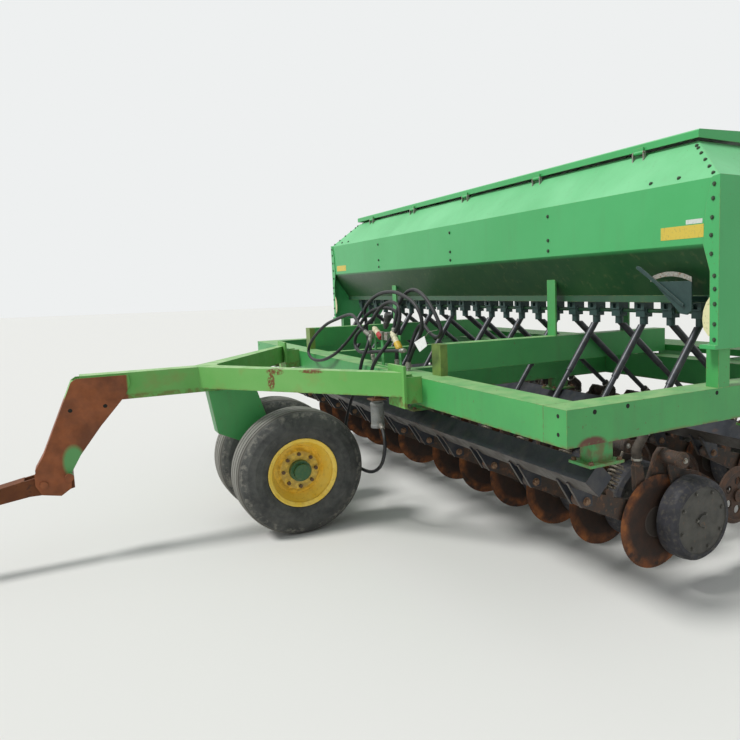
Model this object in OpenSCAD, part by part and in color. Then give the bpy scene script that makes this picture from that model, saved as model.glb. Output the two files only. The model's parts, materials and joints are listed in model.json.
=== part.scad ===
// Pull-type no-till seed drill, 24 rows, built in millimetres.
// X runs across the machine, Y runs from the hitch (minus) to the rear (plus), Z is up from the floor.
// Lengths along Y are laid out from the line of the seed cups and moved to the shared origin at the end.

/* [Rows] */
// spacing of the seed rows
row_pitch = 190.5; // [150:1:260]
// rows on each half of the machine
half_rows = 12; // [8:1:16]

/* [Main frame] */
// room between the outermost row and the side tube
side_gap = 92.25; // [80:0.25:140]
// top of the main frame above the floor
frame_top = 1020; // [950:5:1100]
// side of the square frame tube
frame_tube = 152; // [120:1:180]
// front face of the front beam
frame_front = -1011; // [-1100:1:-950]
// rear face of the rear beam
frame_rear = 800; // [760:5:880]

/* [Upper beams] */
// centre of each upper beam from the middle of the machine
upper_x = 1150; // [1000:5:1300]
// width of the upper beams
upper_wide = 102; // [80:1:130]
// height of the upper beams
upper_tall = 152; // [120:1:180]
// thickness of the pads under the upper beams
upper_pad = 20; // [10:1:40]
// front end of the upper beams
upper_front = -900; // [-960:5:-860]

/* [Tongue] */
// top of the tongue above the floor
tongue_top = 1060; // [1000:5:1120]
// height of the two slanting beams
vee_tall = 130; // [100:1:150]
// thickness across the two slanting beams
vee_wide = 102; // [70:1:130]
// point where the slanting beams meet the pole
apex_y = -1885; // [-2000:5:-1750]
// height of the pole
pole_tall = 152; // [120:1:180]
// width of the pole
pole_wide = 120; // [90:1:150]
// end of the pole at the gooseneck
pole_front = -2560; // [-2650:5:-2450]
// height of the hitch pivot
hitch_z = 480; // [420:5:560]
// place of the hitch pivot
hitch_y = -2775; // [-2850:5:-2700]
// length of the hitch link from its pivot to the tow eye
link_length = 560; // [450:5:700]

/* [Wheels] */
// outside diameter of the tyres
tyre_od = 780; // [720:1:830]
// width of the tyres
tyre_wide = 262; // [220:1:300]
// outside diameter of the rim flanges
rim_od = 426; // [400:1:450]
// axle line of the two front wheels
front_axle_y = -1440; // [-1500:5:-1400]
// centre of each front tyre from the middle
front_wheel_x = 265; // [240:1:300]
// axle line of the two rear wheels
rear_axle_y = 1550; // [1530:5:1600]
// centre of each rear tyre from the middle
rear_wheel_x = 1815; // [1812:1:1818]

/* [Seed box] */
// how far each box end stands past the side tube
box_over = 35; // [20:1:60]
// length of the slanting corner from a box end to the lid opening
hip_run = 290; // [250:5:330]
// height of the bend between the front panel and the sloping panel
bend_z = 1940; // [1900:5:1980]
// height of the rim under the lid
rim_z = 2147; // [2100:1:2200]
// lower edge of the front panel
panel_low = 1660; // [1620:5:1700]
// front face of the box
box_front = -200; // [-240:5:-160]
// rear face of the box
box_rear = 600; // [520:5:700]
// height of the box floor over the seed cups
box_floor = 1432; // [1420:1:1450]
// sheet thickness of the box
box_sheet = 5; // [3:0.5:8]
// height of the lid skirt
lid_skirt = 40; // [30:1:60]

/* [Openers] */
// side of the square opener bars
bar_side = 102; // [80:1:120]
// front opener bar from the cup line
front_bar_y = -800; // [-830:5:-770]
// height of the front opener bar
front_bar_z = 696; // [680:1:720]
// rear opener bar from the cup line
rear_bar_y = 250; // [220:5:300]
// height of the rear opener bar
rear_bar_z = 716; // [700:1:740]
// diameter of the opener discs
disc_od = 457; // [430:1:480]
// diameter of the gauge wheels
gauge_od = 406; // [380:1:430]
// width of the gauge wheels
gauge_wide = 112; // [90:1:120]
// diameter of the seed press wheels
press_od = 254; // [220:1:280]
// diameter of the closing wheels
closing_od = 300; // [260:1:320]

/* [Hidden] */
$fn = 64;
rear_end = rear_axle_y + tyre_od / 2;
front_end = hitch_y - link_length - 65;
shift_y = -(rear_end + front_end) / 2;
frame_low = frame_top - frame_tube;
rows_x = [for (i = [0 : half_rows - 1]) row_pitch * (i + 0.5)];
frame_half = rows_x[half_rows - 1] + side_gap + frame_tube;
box_half = frame_half + box_over;
mouth_half = box_half - hip_run;
front_rows = [for (i = [1 : 2 : half_rows - 1]) rows_x[i]];
rear_rows = [for (i = [0 : 2 : half_rows - 1]) rows_x[i]];
wheel_z = tyre_od / 2;
upper_low = frame_top + upper_pad;
upper_high = upper_low + upper_tall;
cup_low = 1278;
cup_high = 1396;
// places in one opener, from its pivot: back along Y and up
disc_at = [450, -190];
gauge_at = [620, -185];
depth_at = [520, 118];
press_at = [818, -205];
closing_at = [985, -150];
front_pivot = [front_bar_y + 68, front_bar_z - 146];
rear_pivot = [rear_bar_y + 68, rear_bar_z - 146];
gauge_in = 24;
disc_in = -5.7;
press_in = -20;
closing_in = 22;
tie_x = 738;
stop_y = hitch_y + 120;
stop_z = hitch_z + 26;
tube_at = [-25.5, 345, 175];
boot_gap = 20;
arm_in = -46;
arm_out = -18;

green = [0.16, 0.45, 0.22];
dark = [0.10, 0.11, 0.12];
teal = [0.10, 0.26, 0.24];
rust = [0.40, 0.22, 0.13];
steel = [0.62, 0.63, 0.62];
yellow = [0.86, 0.70, 0.16];
rubber = [0.07, 0.07, 0.07];
primer = [0.38, 0.20, 0.13];
grey = [0.42, 0.43, 0.42];
cream = [0.85, 0.83, 0.68];

// A block between two opposite corners.
module block(a, b) {
    translate(a) cube(b - a);
}

// A round bar along X.
module rod_x(x0, x1, y, z, d) {
    translate([x0, y, z]) rotate([0, 90, 0]) cylinder(d = d, h = x1 - x0);
}

// A round bar along Y.
module rod_y(y0, y1, x, z, d) {
    translate([x, y0, z]) rotate([-90, 0, 0]) cylinder(d = d, h = y1 - y0);
}

// A round bar along Z.
module rod_z(z0, z1, x, y, d) {
    translate([x, y, z0]) cylinder(d = d, h = z1 - z0);
}

// A plate across X cut to an outline of [y, z] points.
module side_plate(x0, x1, points) {
    translate([x0, 0, 0]) rotate([90, 0, 90]) linear_extrude(x1 - x0) polygon(points);
}

// The same piece on both halves of the machine.
module both() {
    children();
    mirror([1, 0, 0]) children();
}

// MAIN FRAME: four square tubes, with the hangers that hold the opener bars.
module main_frame() {
    color(green) {
        block([-frame_half, frame_front, frame_low], [frame_half, frame_front + frame_tube, frame_top]);
        block([-frame_half, frame_rear - frame_tube, frame_low], [frame_half, frame_rear, frame_top]);
        both() {
            block([frame_half - frame_tube, frame_front, frame_low], [frame_half, frame_rear, frame_top]);
            for (x = [frame_half - 75, tie_x]) {
                hanger(x, frame_front + 76, front_bar_y, front_bar_z);
                hanger(x, frame_rear - 76, rear_bar_y, rear_bar_z);
            }
        }
        // middle beam that ties the frame between the upper beams
        both() block([tie_x - 38, frame_front + frame_tube - 1, frame_low],
            [tie_x + 38, frame_rear - frame_tube + 1, frame_top]);
    }
}

// A hanger drops from a frame tube and ends in a foot plate on top of an opener bar.
module hanger(x, beam_y, bar_y, bar_z) {
    top = bar_z + bar_side * 0.7072;
    foot = 12;
    block([x - 38, bar_y - 55, top + foot - 1], [x + 38, bar_y + 55, frame_low + 1]);
    block([x - 70, bar_y - 90, top], [x + 70, bar_y + 90, top + foot]);
    if (abs(beam_y - bar_y) > 76)
        block([x - 38, min(beam_y, bar_y), frame_low], [x + 38, max(beam_y, bar_y), frame_top]);
}

// UPPER BEAMS: two beams that lie along the frame and carry the middle of the seed box.
module upper_beams() {
    color(green) both() {
        block([upper_x - upper_wide / 2, upper_front, upper_low],
            [upper_x + upper_wide / 2, frame_rear, upper_high]);
        for (y = [upper_front, frame_rear - frame_tube])
            block([upper_x - upper_wide / 2, y, frame_top], [upper_x + upper_wide / 2, y + 41, upper_low + 1]);
        // upright plates that stand on the beams and reach the box
        for (y = [box_front + 90, box_rear - 120])
            side_plate(upper_x - 40, upper_x + 40, [[y, upper_high - 1], [y + 12, upper_high - 1],
                [y + 12, box_under(y + 12)], [y, box_under(y)]]);
    }
}

// Height of the underside of the box at a place along Y.
function box_under(y) = y < -45
    ? box_floor + (panel_low - box_floor) * (-45 - y) / (-45 - box_front)
    : box_floor + (1750 - box_floor) * (y - 60) / (box_rear - 60);

// TONGUE: two slanting beams, the pole, the gooseneck plates and the end plates at the frame.
module tongue() {
    low = tongue_top - vee_tall;
    end_y = frame_front - 120;
    color(green) {
        both() {
            linear_extrude_z(low, tongue_top) polygon([
                [upper_x + 50, end_y], [upper_x - 62, end_y],
                [pole_wide / 2 - 52, apex_y + 40], [pole_wide / 2, apex_y - 60]]);
            // end plate, lugs and pin that join the tongue to the front beam
            block([upper_x - 130, end_y - 1, tongue_top - 190], [upper_x + 75, end_y + 14, tongue_top + 35]);
            for (x = [upper_x - 100, upper_x + 20])
                block([x, end_y + 13, frame_low + 20], [x + 18, frame_front + 0, frame_top + 10]);
        }
        block([-pole_wide / 2, pole_front, tongue_top - pole_tall], [pole_wide / 2, apex_y + 60, tongue_top]);
    }
    color(primer) {
        // two gooseneck plates with a closing strip along their front
        for (x = [-pole_wide / 2 - 10, pole_wide / 2])
            side_plate(x, x + 10, [
                [pole_front - 45, tongue_top - 30], [pole_front - 20, tongue_top - 12],
                [pole_front + 240, tongue_top - 12], [pole_front + 245, tongue_top - 60],
                [pole_front + 215, tongue_top - 130], [pole_front + 80, tongue_top - 290],
                [hitch_y + 185, hitch_z + 140], [hitch_y + 135, hitch_z + 50], [hitch_y + 125, hitch_z - 40],
                [hitch_y + 75, hitch_z - 75], [hitch_y - 15, hitch_z - 55], [hitch_y - 40, hitch_z],
                [hitch_y - 40, hitch_z + 60], [hitch_y + 10, hitch_z + 160]]);
        side_plate(-pole_wide / 2, pole_wide / 2, [
            [pole_front - 45, tongue_top - 30], [pole_front - 33, tongue_top - 30],
            [hitch_y + 22, hitch_z + 160], [hitch_y - 21, hitch_z + 80], [hitch_y - 35, hitch_z + 80],
            [hitch_y + 10, hitch_z + 160]]);
        rod_x(-pole_wide / 2 - 40, pole_wide / 2 + 40, stop_y, stop_z, 44);
    }
    color(steel) difference() {
        rod_x(-pole_wide / 2 - 22, pole_wide / 2 + 22, hitch_y, hitch_z, 38);
    }
}

module linear_extrude_z(z0, z1) {
    translate([0, 0, z0]) linear_extrude(z1 - z0) children();
}

// HITCH LINK: the short drawbar that pivots in the gooseneck and ends in a tow eye.
module hitch_link() {
    half = pole_wide / 2 - 6;
    drop = 70;
    tip_y = hitch_y - link_length;
    color(primer) difference() {
        union() {
            for (x = [-half, half - 16])
                side_plate(x, x + 16, [
                    [stop_y + 22, stop_z - 22.3], [stop_y - 40, stop_z - 22.3], [hitch_y + 36, hitch_z + 42],
                    [hitch_y - 30, hitch_z + 42], [tip_y + 120, hitch_z - drop + 28],
                    [tip_y + 120, hitch_z - drop - 40], [hitch_y - 70, hitch_z - 58], [hitch_y + 60, hitch_z - 60],
                    [stop_y + 22, hitch_z - 42]]);
            side_plate(-half, half, [
                [hitch_y - 90, hitch_z + 32], [hitch_y - 90, hitch_z - 52],
                [tip_y + 120, hitch_z - drop - 40], [tip_y + 120, hitch_z - drop + 28]]);
            block([-60, tip_y - 10, hitch_z - drop - 25], [60, tip_y + 125, hitch_z - drop + 15]);
            rod_z(hitch_z - drop - 25, hitch_z - drop + 15, 0, tip_y, 130);
        }
        rod_x(-200, 200, hitch_y, hitch_z, 38.6);
        rod_z(0, 700, 0, tip_y, 33);
    }
}

// FRONT WHEEL CARRIAGE: the mast under the tongue, the arm back to the axle and the axle.
module wheel_carriage() {
    half = 62;
    color(green) {
        side_plate(-half, half, [
            [-1900, tongue_top - pole_tall + 0], [-1620, tongue_top - pole_tall + 0], [-1560, 700],
            [front_axle_y + 70, wheel_z + 70], [front_axle_y + 70, wheel_z - 60],
            [front_axle_y - 70, wheel_z - 60], [-1700, 560], [-1860, 640]]);
        rod_x(-half - 66, half + 66, front_axle_y, wheel_z, 110);
    }
    color(steel) rod_x(-front_wheel_x - 40, front_wheel_x + 40, front_axle_y, wheel_z, 50);
}

// A tyre with a ribbed tread, lying around the X axis.
module tyre() {
    r = tyre_od / 2;
    w = tyre_wide / 2;
    b = rim_od / 2 - 20;
    rotate([0, 90, 0]) rotate_extrude($fn = 96) polygon([
        [b, -w + 50], [b + 14, -w + 42], [b + 26, -w + 20], [b + 60, -w + 4], [b + 100, -w], [b + 140, -w + 10],
        [r - 26, -w + 26], [r - 8, -w + 40],
        [r - 2, -w + 52], [r - 12, -w + 55], [r - 12, -w + 63], [r - 0.5, -w + 66], [r, -30],
        [r - 12, -28], [r - 12, -20], [r, -18], [r, 18], [r - 12, 20], [r - 12, 28], [r, 30],
        [r - 0.5, w - 66], [r - 12, w - 63], [r - 12, w - 55], [r - 2, w - 52],
        [r - 8, w - 40], [r - 26, w - 26], [b + 140, w - 10], [b + 100, w], [b + 60, w - 4], [b + 26, w - 20],
        [b + 14, w - 42], [b, w - 50]]);
}

// A rim with its disc and hub, lying around the X axis; the dish opens towards plus X.
module rim(hub_bore) {
    w = tyre_wide / 2;
    f = rim_od / 2;
    b = f - 20;
    rotate([0, 90, 0]) difference() {
        union() {
            rotate_extrude($fn = 96) polygon([
                [f, w - 24], [f - 6, w - 24], [b - 5, w - 34], [b - 5, w - 60], [b - 42, 0], [b - 42, -20],
                [b - 5, -w + 60], [b - 5, -w + 34], [f - 6, -w + 24], [f, -w + 24], [f, -w + 28], [f - 5, -w + 34],
                [b - 0.3, -w + 42], [b - 0.3, -w + 62], [b - 37, -20], [b - 37, 0], [b - 0.3, w - 62],
                [b - 0.3, w - 42], [f - 5, w - 34], [f, w - 28]]);
            // wheel disc
            rotate_extrude($fn = 96) polygon([
                [40, 22], [118, 22], [132, 8], [b - 38, -4], [b - 38, -14], [128, -2], [112, 12], [40, 12]]);
            translate([0, 0, -60]) cylinder(d = 130, h = 118);
            translate([0, 0, 56]) cylinder(d = 96, h = 34);
            for (a = [0 : 45 : 315]) rotate(a) translate([101.5, 0, 20]) cylinder(d = 24, h = 18, $fn = 6);
        }
        translate([0, 0, -70]) cylinder(d = hub_bore, h = 140);
    }
}

axle_bore = 50.6;

module front_rims() {
    color(yellow) both() translate([front_wheel_x, front_axle_y, wheel_z]) rim(axle_bore);
}

module front_tyres() {
    color(rubber) both() translate([front_wheel_x, front_axle_y, wheel_z]) tyre();
}

// REAR WHEEL ARMS: one arm each side from the rear beam, with a stub axle on its inner side.
module rear_wheel_arms() {
    x = rear_wheel_x - tyre_wide / 2 - 72;
    color(green) both() {
        side_plate(x, x + 50, [
            [frame_rear, frame_top - 10], [frame_rear, frame_low + 10], [rear_axle_y - 150, frame_low - 20],
            [rear_axle_y - 68, frame_low - 110], [rear_axle_y - 60, wheel_z - 30], [rear_axle_y - 30, wheel_z - 62],
            [rear_axle_y + 30, wheel_z - 62], [rear_axle_y + 60, wheel_z - 30], [rear_axle_y + 66, frame_low],
            [rear_axle_y - 20, frame_top - 40], [rear_axle_y - 140, frame_top - 10]]);
        rod_x(x, x + 90, rear_axle_y, wheel_z, 110);
    }
    color(steel) both() rod_x(x + 88, rear_wheel_x + 40, rear_axle_y, wheel_z, 50);
}

module left_rim() {
    color(yellow) translate([rear_wheel_x, rear_axle_y, wheel_z]) rim(axle_bore);
}

module left_tyre() {
    color(rubber) translate([rear_wheel_x, rear_axle_y, wheel_z]) tyre();
}

module right_rim() {
    color(yellow) mirror([1, 0, 0]) translate([rear_wheel_x, rear_axle_y, wheel_z]) rim(axle_bore);
}

module right_tyre() {
    color(rubber) mirror([1, 0, 0]) translate([rear_wheel_x, rear_axle_y, wheel_z]) tyre();
}

// SEED BOX: bent sheet with hip ends, hollow, with a feed hole over each cup.
module box_solid(s) {
    intersection() {
        side_plate(-box_half + s, box_half - s, [
            [box_front + s, panel_low + s * 0.5], [box_front + s, bend_z - s * 0.4],
            [s, rim_z], [560 - s, rim_z],
            [box_rear - s, 1900], [box_rear - s, 1750 + s * 0.7], [60 - s * 0.2, box_floor + s],
            [-45 + s * 0.3, box_floor + s]]);
        rotate([90, 0, 0]) translate([0, 0, -800]) linear_extrude(1200) polygon([
            [-box_half + s, 1400], [-box_half + s, bend_z - s * 0.4], [-mouth_half + s, rim_z],
            [mouth_half - s, rim_z], [box_half - s, bend_z - s * 0.4], [box_half - s, 1400]]);
    }
}

module seed_box() {
    color(green) difference() {
        union() {
            box_solid(0);
            // upright neck around the mouth, under the lid
            block([-mouth_half + 22, 22, rim_z - 2], [mouth_half - 22, 538, rim_z + 14]);
        }
        intersection() {
            box_solid(box_sheet);
            block([-box_half, -600, 1000], [box_half, 900, rim_z - box_sheet]);
        }
        block([-mouth_half + 27, 27, rim_z - 40], [mouth_half - 27, 533, rim_z + 40]);
        both() for (x = rows_x)
            block([x - 28, -20, box_floor - 5], [x + 28, 36, box_floor + 20]);
    }
}

// BOX ENDS: a folded plate at each end, its front flange, ledge and foot.
module box_ends() {
    color(green) both() {
        side_plate(box_half, box_half + 6, [
            [box_front - 6, 1218], [box_front - 6, bend_z + 8], [box_rear + 10, bend_z + 8],
            [box_rear + 10, 1640], [300, 1218]]);
        linear_extrude_y(box_front - 6, box_front) polygon([
            [box_half + 6, 1218], [box_half + 6, bend_z + 8], [box_half - 36, bend_z + 3], [box_half - 70, 1830],
            [box_half - 84, panel_low], [box_half - 44, 1540], [box_half - 40, 1218]]);
        block([box_half - 84, box_front - 22, 1200], [box_half + 6, 300, 1218.5]);
    }
}

module linear_extrude_y(y0, y1) {
    translate([0, y1, 0]) rotate([90, 0, 0]) linear_extrude(y1 - y0) children();
}

// BOX POSTS: posts from the side beams up to the ledges of the box ends.
module box_posts() {
    color(green) both() for (y = [-150, 190]) {
        block([frame_half - 70, y, frame_top], [frame_half, y + 76, 1200]);
    }
}

// LID: one long pan over the mouth of the box.
lid_front = -12;
lid_rear = 576;
lid_half = mouth_half + 6;
lid_top = rim_z + 22 + lid_skirt;

module lid() {
    low = lid_top - lid_skirt;
    color(green) {
        difference() {
            side_plate(-lid_half, lid_half, [
                [lid_front, low], [lid_front, lid_top - 6], [lid_front + 6, lid_top], [280, lid_top + 14],
                [lid_rear - 6, lid_top], [lid_rear, lid_top - 6], [lid_rear, low]]);
            side_plate(-lid_half + 3, lid_half - 3, [
                [lid_front + 3, low - 1], [lid_front + 3, lid_top - 7], [lid_front + 8, lid_top - 3],
                [280, lid_top + 11], [lid_rear - 8, lid_top - 3], [lid_rear - 3, lid_top - 7], [lid_rear - 3, low - 1]]);
        }
        for (x = hinge_xs) {
            rod_x_sleeve(x - 34, x + 34);
            block([x - 34, lid_front - 13, low - 2], [x + 34, lid_front + 0.5, low + 16]);
        }
    }
}

hinge_xs = [-1800, -900, 0, 900, 1800];
hinge_z = lid_top - lid_skirt - 8;
hinge_y = lid_front - 8;

module rod_x_sleeve(x0, x1) {
    difference() {
        rod_x(x0, x1, hinge_y, hinge_z, 17);
        rod_x(x0 - 1, x1 + 1, hinge_y, hinge_z, 10.4);
    }
}

// LID HINGES: ears and pins on the sloping panel in front of the mouth.
module lid_hinges() {
    color(green) for (x = hinge_xs) {
        for (e = [x - 42, x + 35]) side_plate(e, e + 7, [
            [hinge_y - 9, hinge_z + 6], [hinge_y + 9, hinge_z + 6], [hinge_y + 9, slope_z(hinge_y + 9) + 0.02],
            [hinge_y - 9, slope_z(hinge_y - 9) + 0.02]]);
    }
    color(steel) for (x = hinge_xs) rod_x(x - 46, x + 46, hinge_y, hinge_z, 10);
}

// Height of the sloping front panel at a place along Y.
function slope_z(y) = bend_z + (rim_z - bend_z) * (y - box_front) / (0 - box_front);

// SEED CUPS: one casting under each feed hole, with a spout.
module seed_cups() {
    color(teal) both() for (x = rows_x) translate([x, 0, 0]) {
        difference() {
            union() {
                block([-36, -28, cup_high - 40], [36, 44, box_floor]);
                block([-30, -22, cup_low + 40], [34, 36, cup_high - 39]);
                rod_z(cup_low, cup_low + 41, 2, 6, 44);
            }
            block([-14, -40, cup_high - 34], [14, -10, cup_high - 8]);
        }
        // bosses under the feed roll
        rod_x(30, 40, 8, cup_high - 46, 46);
    }
}

// FEED DRIVE: the channel in front of the cups and the shaft behind it.
module feed_drive() {
    color(green) block([-box_half + 10, -46, cup_high], [box_half - 10, -28, box_floor]);
    color(steel) both() for (i = [0 : half_rows - 2])
        rod_x(rows_x[i] + 40, rows_x[i + 1] - 36, 8, cup_high - 46, 22);
}

// SEED TUBES: a telescoping tube from each spout towards its opener.
module seed_tube(x, pivot) {
    top = [x + 2, 6, cup_low + 16];
    end = [x + tube_at[0], pivot[0] + tube_at[1], pivot[1] + tube_at[2]];
    run = top - end;
    long = norm(run);
    turn = [0, acos(run[2] / long), atan2(run[1], run[0])];
    translate(end) rotate(turn) rotate([0, 0, 50]) rotate_extrude($fn = 32) polygon([
        [12.5, 0], [15, 0], [15, long * 0.5], [19, long * 0.5], [19, long], [12.5, long]]);
}

// the tubes end flat against the spouts
module seed_tubes(rows, pivot) {
    for (x = rows) difference() {
        seed_tube(x, pivot);
        block([x - 90, -90, cup_low], [x + 90, 110, cup_low + 90]);
    }
}

module front_seed_tubes() {
    color(grey) both() seed_tubes(front_rows, front_pivot);
}

module rear_seed_tubes() {
    color(grey) both() seed_tubes(rear_rows, rear_pivot);
}

// OPENER BARS: square bars on edge, with a lug for each opener pivot.
module opener_bar(y, z, rows, pivot) {
    difference() {
        union() {
            translate([-frame_half + 60, y, z]) rotate([45, 0, 0])
                translate([0, -bar_side / 2, -bar_side / 2]) cube([2 * frame_half - 120, bar_side, bar_side]);
            both() for (x = rows) {
                side_plate(x - 66, x - 50, [
                    [y - 20, z - 40], [y + 60, z + 6], [pivot[0] + 34, pivot[1] + 20], [pivot[0] + 34, pivot[1] - 26],
                    [pivot[0] - 26, pivot[1] - 26], [y - 34, z - 48]]);
                side_plate(x + 6, x + 22, [
                    [y - 20, z - 40], [y + 60, z + 6], [pivot[0] + 34, pivot[1] + 20], [pivot[0] + 34, pivot[1] - 26],
                    [pivot[0] - 26, pivot[1] - 26], [y - 34, z - 48]]);
            }
        }
        both() for (x = rows) rod_x(x - 80, x + 40, pivot[0], pivot[1], 24.6);
    }
}

module front_opener_bar() {
    color(dark) opener_bar(front_bar_y, front_bar_z, front_rows, front_pivot);
}

module rear_opener_bar() {
    color(dark) opener_bar(rear_bar_y, rear_bar_z, rear_rows, rear_pivot);
}

// OPENER ARM: pivot bolt, arm plate, upright casting and seed boot.
spring_tilt = 30;
spring_foot = [170, 10];
module opener_arm(p) {
    translate([0, p[0], p[1]]) {
        rod_x(-76, 32, 0, 0, 24);
        rod_x(-49, 5, 0, 0, 62);
        difference() {
            side_plate(arm_in, arm_out, [
                [-24, 22], [20, 32], [spring_foot[0] - 22, -10],
                [spring_foot[0] - 22, spring_foot[1] + 22 * tan(spring_tilt)],
                [spring_foot[0] + 22, spring_foot[1] - 22 * tan(spring_tilt)], [spring_foot[0] + 22, -30],
                [300, -60], [395, -50], [470, 128], [500, 158], [548, 150], [566, 110],
                [520, -60], [520, -150], [500, -225], [430, -232], [380, -205], [240, -150], [0, -36], [-26, -20]]);
            // rebate that takes the front end of the tail arm
            block([arm_in - 1, 482, -72], [tail_face, 600, 82]);
        }
        // disc spindle
        rod_x(arm_out - 1, disc_in - 0.3, disc_at[0], disc_at[1], 62);
        // depth pivot above the gauge wheel and the arm down to its hub
        rod_x(arm_out - 1, gauge_in + 84, depth_at[0], depth_at[1], 70);
        side_plate(7, 19, [
            [depth_at[0] - 30, depth_at[1] + 20], [depth_at[0] + 32, depth_at[1] + 20],
            [gauge_at[0] + 34, gauge_at[1] + 10], [gauge_at[0] + 20, gauge_at[1] - 34],
            [gauge_at[0] - 26, gauge_at[1] - 26]]);
        rod_x(18, gauge_in + 66, gauge_at[0], gauge_at[1], 30);
        // seed boot behind the disc, with its hose
        side_plate(arm_in + 6, disc_in - 5.3, [
            [322, 100], [368, 100], [400, -40], [600, -235], [560, -300], [520, -300], [420, -180], [330, -20]]);
        rod_z(98, tube_at[2] - boot_gap, tube_at[0], tube_at[1], 40);
    }
}

module opener_arms(rows, p) {
    both() for (x = rows) translate([x, 0, 0]) opener_arm(p);
}

module front_opener_arms() {
    color(rust) opener_arms(front_rows, front_pivot);
}

module rear_opener_arms() {
    color(rust) opener_arms(rear_rows, rear_pivot);
}

// TAIL ARMS: the trailing arm of each opener, with the axles of its press wheel and closing wheel.
tail_face = -26;
module tail_arms(rows, p) {
    both() for (x = rows) translate([x, p[0], p[1]]) {
        side_plate(arm_in, tail_face, [
            [488, 20], [500, 40], [540, 60], [760, 0], [1006, -130], [1006, -174], [964, -174], [842, -100],
            [836, -230], [800, -230], [780, -90], [520, -30], [490, -20]]);
        rod_x(tail_face - 1, press_in + 40, press_at[0], press_at[1], 20);
        rod_x(tail_face - 1, closing_in + 38, closing_at[0], closing_at[1], 24);
    }
}

module front_tail_arms() {
    color(rust) tail_arms(front_rows, front_pivot);
}

module rear_tail_arms() {
    color(rust) tail_arms(rear_rows, rear_pivot);
}

// SPRINGS: the down-pressure spring of each opener on its rod.
module spring_set(rows, p) {
    both() for (x = rows) translate([x - 32, p[0] + spring_foot[0], p[1] + spring_foot[1]]) rotate([-spring_tilt, 0, 0]) {
        cylinder(d = 14, h = 190, $fn = 24);
        rotate_extrude($fn = 32) polygon([
            [6, 16], [26, 16], [32, 24], [26, 32], [32, 40], [26, 48], [32, 56], [26, 64], [32, 72], [26, 80],
            [32, 88], [26, 96], [32, 104], [26, 112], [26, 118], [6, 118]]);
        translate([0, 0, 118]) cylinder(d = 60, h = 8, $fn = 32);
    }
}

module front_springs() {
    color(dark) spring_set(front_rows, front_pivot);
}

module rear_springs() {
    color(dark) spring_set(rear_rows, rear_pivot);
}

// WHEELS OF THE OPENERS, each turned around the X axis at its own hub.
module row_wheels(rows, p, at, x) {
    both() for (r = rows) translate([r + x, p[0] + at[0], p[1] + at[1]]) rotate([0, 90, 0]) children();
}

module disc() {
    rotate_extrude($fn = 72) polygon([
        [0, 0], [70, 0], [74, 3], [disc_od / 2 - 22, 3], [disc_od / 2, 4.6], [disc_od / 2, 5.4],
        [disc_od / 2 - 22, 7], [76, 7], [72, 10], [0, 10]]);
}

module front_discs() {
    color(rust) row_wheels(front_rows, front_pivot, disc_at, disc_in) disc();
}

module rear_discs() {
    color(rust) row_wheels(rear_rows, rear_pivot, disc_at, disc_in) disc();
}

// The gauge wheel is a dish: open towards the disc, closed by a bolted plate outside.
module gauge_wheel() {
    r = gauge_od / 2;
    w = gauge_wide;
    rotate_extrude($fn = 72) polygon([
        [15.3, 30], [40, 30], [40, w - 22], [r - 62, w - 14], [r - 40, 20], [r - 26, 0], [r - 8, 0], [r, 8],
        [r + 0, 60], [r - 6, w - 18], [r - 22, w], [r - 40, w + 0], [r - 42, w - 5], [30, w - 5], [30, w + 4],
        [0, w + 4], [0, w - 26], [15.3, w - 26]]);
}

module front_gauge_wheels() {
    color(dark) row_wheels(front_rows, front_pivot, gauge_at, gauge_in) gauge_wheel();
}

module rear_gauge_wheels() {
    color(dark) row_wheels(rear_rows, rear_pivot, gauge_at, gauge_in) gauge_wheel();
}

module press_wheel() {
    r = press_od / 2;
    rotate_extrude($fn = 48) polygon([
        [10.3, 0], [26, 0], [26, 8], [r - 22, 8], [r - 18, 0], [r - 4, 0], [r, 5], [r, 21], [r - 4, 26],
        [r - 18, 26], [r - 22, 18], [26, 18], [26, 34], [10.3, 34]]);
}

module front_press_wheels() {
    color(dark) row_wheels(front_rows, front_pivot, press_at, press_in) press_wheel();
}

module rear_press_wheels() {
    color(dark) row_wheels(rear_rows, rear_pivot, press_at, press_in) press_wheel();
}

// The closing wheel is a spoked casting.
module closing_wheel() {
    r = closing_od / 2;
    difference() {
        rotate_extrude($fn = 48) polygon([
            [12.3, 0], [34, 0], [34, 10], [r - 32, 10], [r - 26, 2], [r - 6, 6], [r, 12], [r, 20], [r - 22, 32],
            [r - 32, 20], [34, 20], [34, 36], [12.3, 36]]);
        for (a = [0 : 60 : 300]) rotate(a) translate([76, 0, -1]) cylinder(d = 44, h = 50, $fn = 32);
    }
}

module front_closing_wheels() {
    color(dark) row_wheels(front_rows, front_pivot, closing_at, closing_in) closing_wheel();
}

module rear_closing_wheels() {
    color(dark) row_wheels(rear_rows, rear_pivot, closing_at, closing_in) closing_wheel();
}

// WALKBOARD: the platform behind the box, on brackets from the rear beam.
module walkboard() {
    top = 1080;
    front = frame_rear + 30;
    back = front + 320;
    color(green) {
        block([-2300, front, top - 40], [2300, front + 5, top]);
        block([-2300, back - 5, top - 40], [2300, back, top]);
        for (i = [0 : 7]) block([-2300, front + 4 + i * 40, top - 6], [2300, front + 34 + i * 40, top]);
        both() for (x = [350, 1150, 2200]) {
            block([x - 6, frame_rear, frame_top - 120], [x + 6, front + 1, top - 10]);
            side_plate(x - 6, x + 6, [[frame_rear, frame_top - 120], [back, top - 40], [back, top - 6],
                [frame_rear, top - 6]]);
        }
    }
}

// Every node stands at the shared origin: middle of the machine's length and width, on the floor.
module placed() {
    translate([0, shift_y, 0]) children();
}

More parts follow.
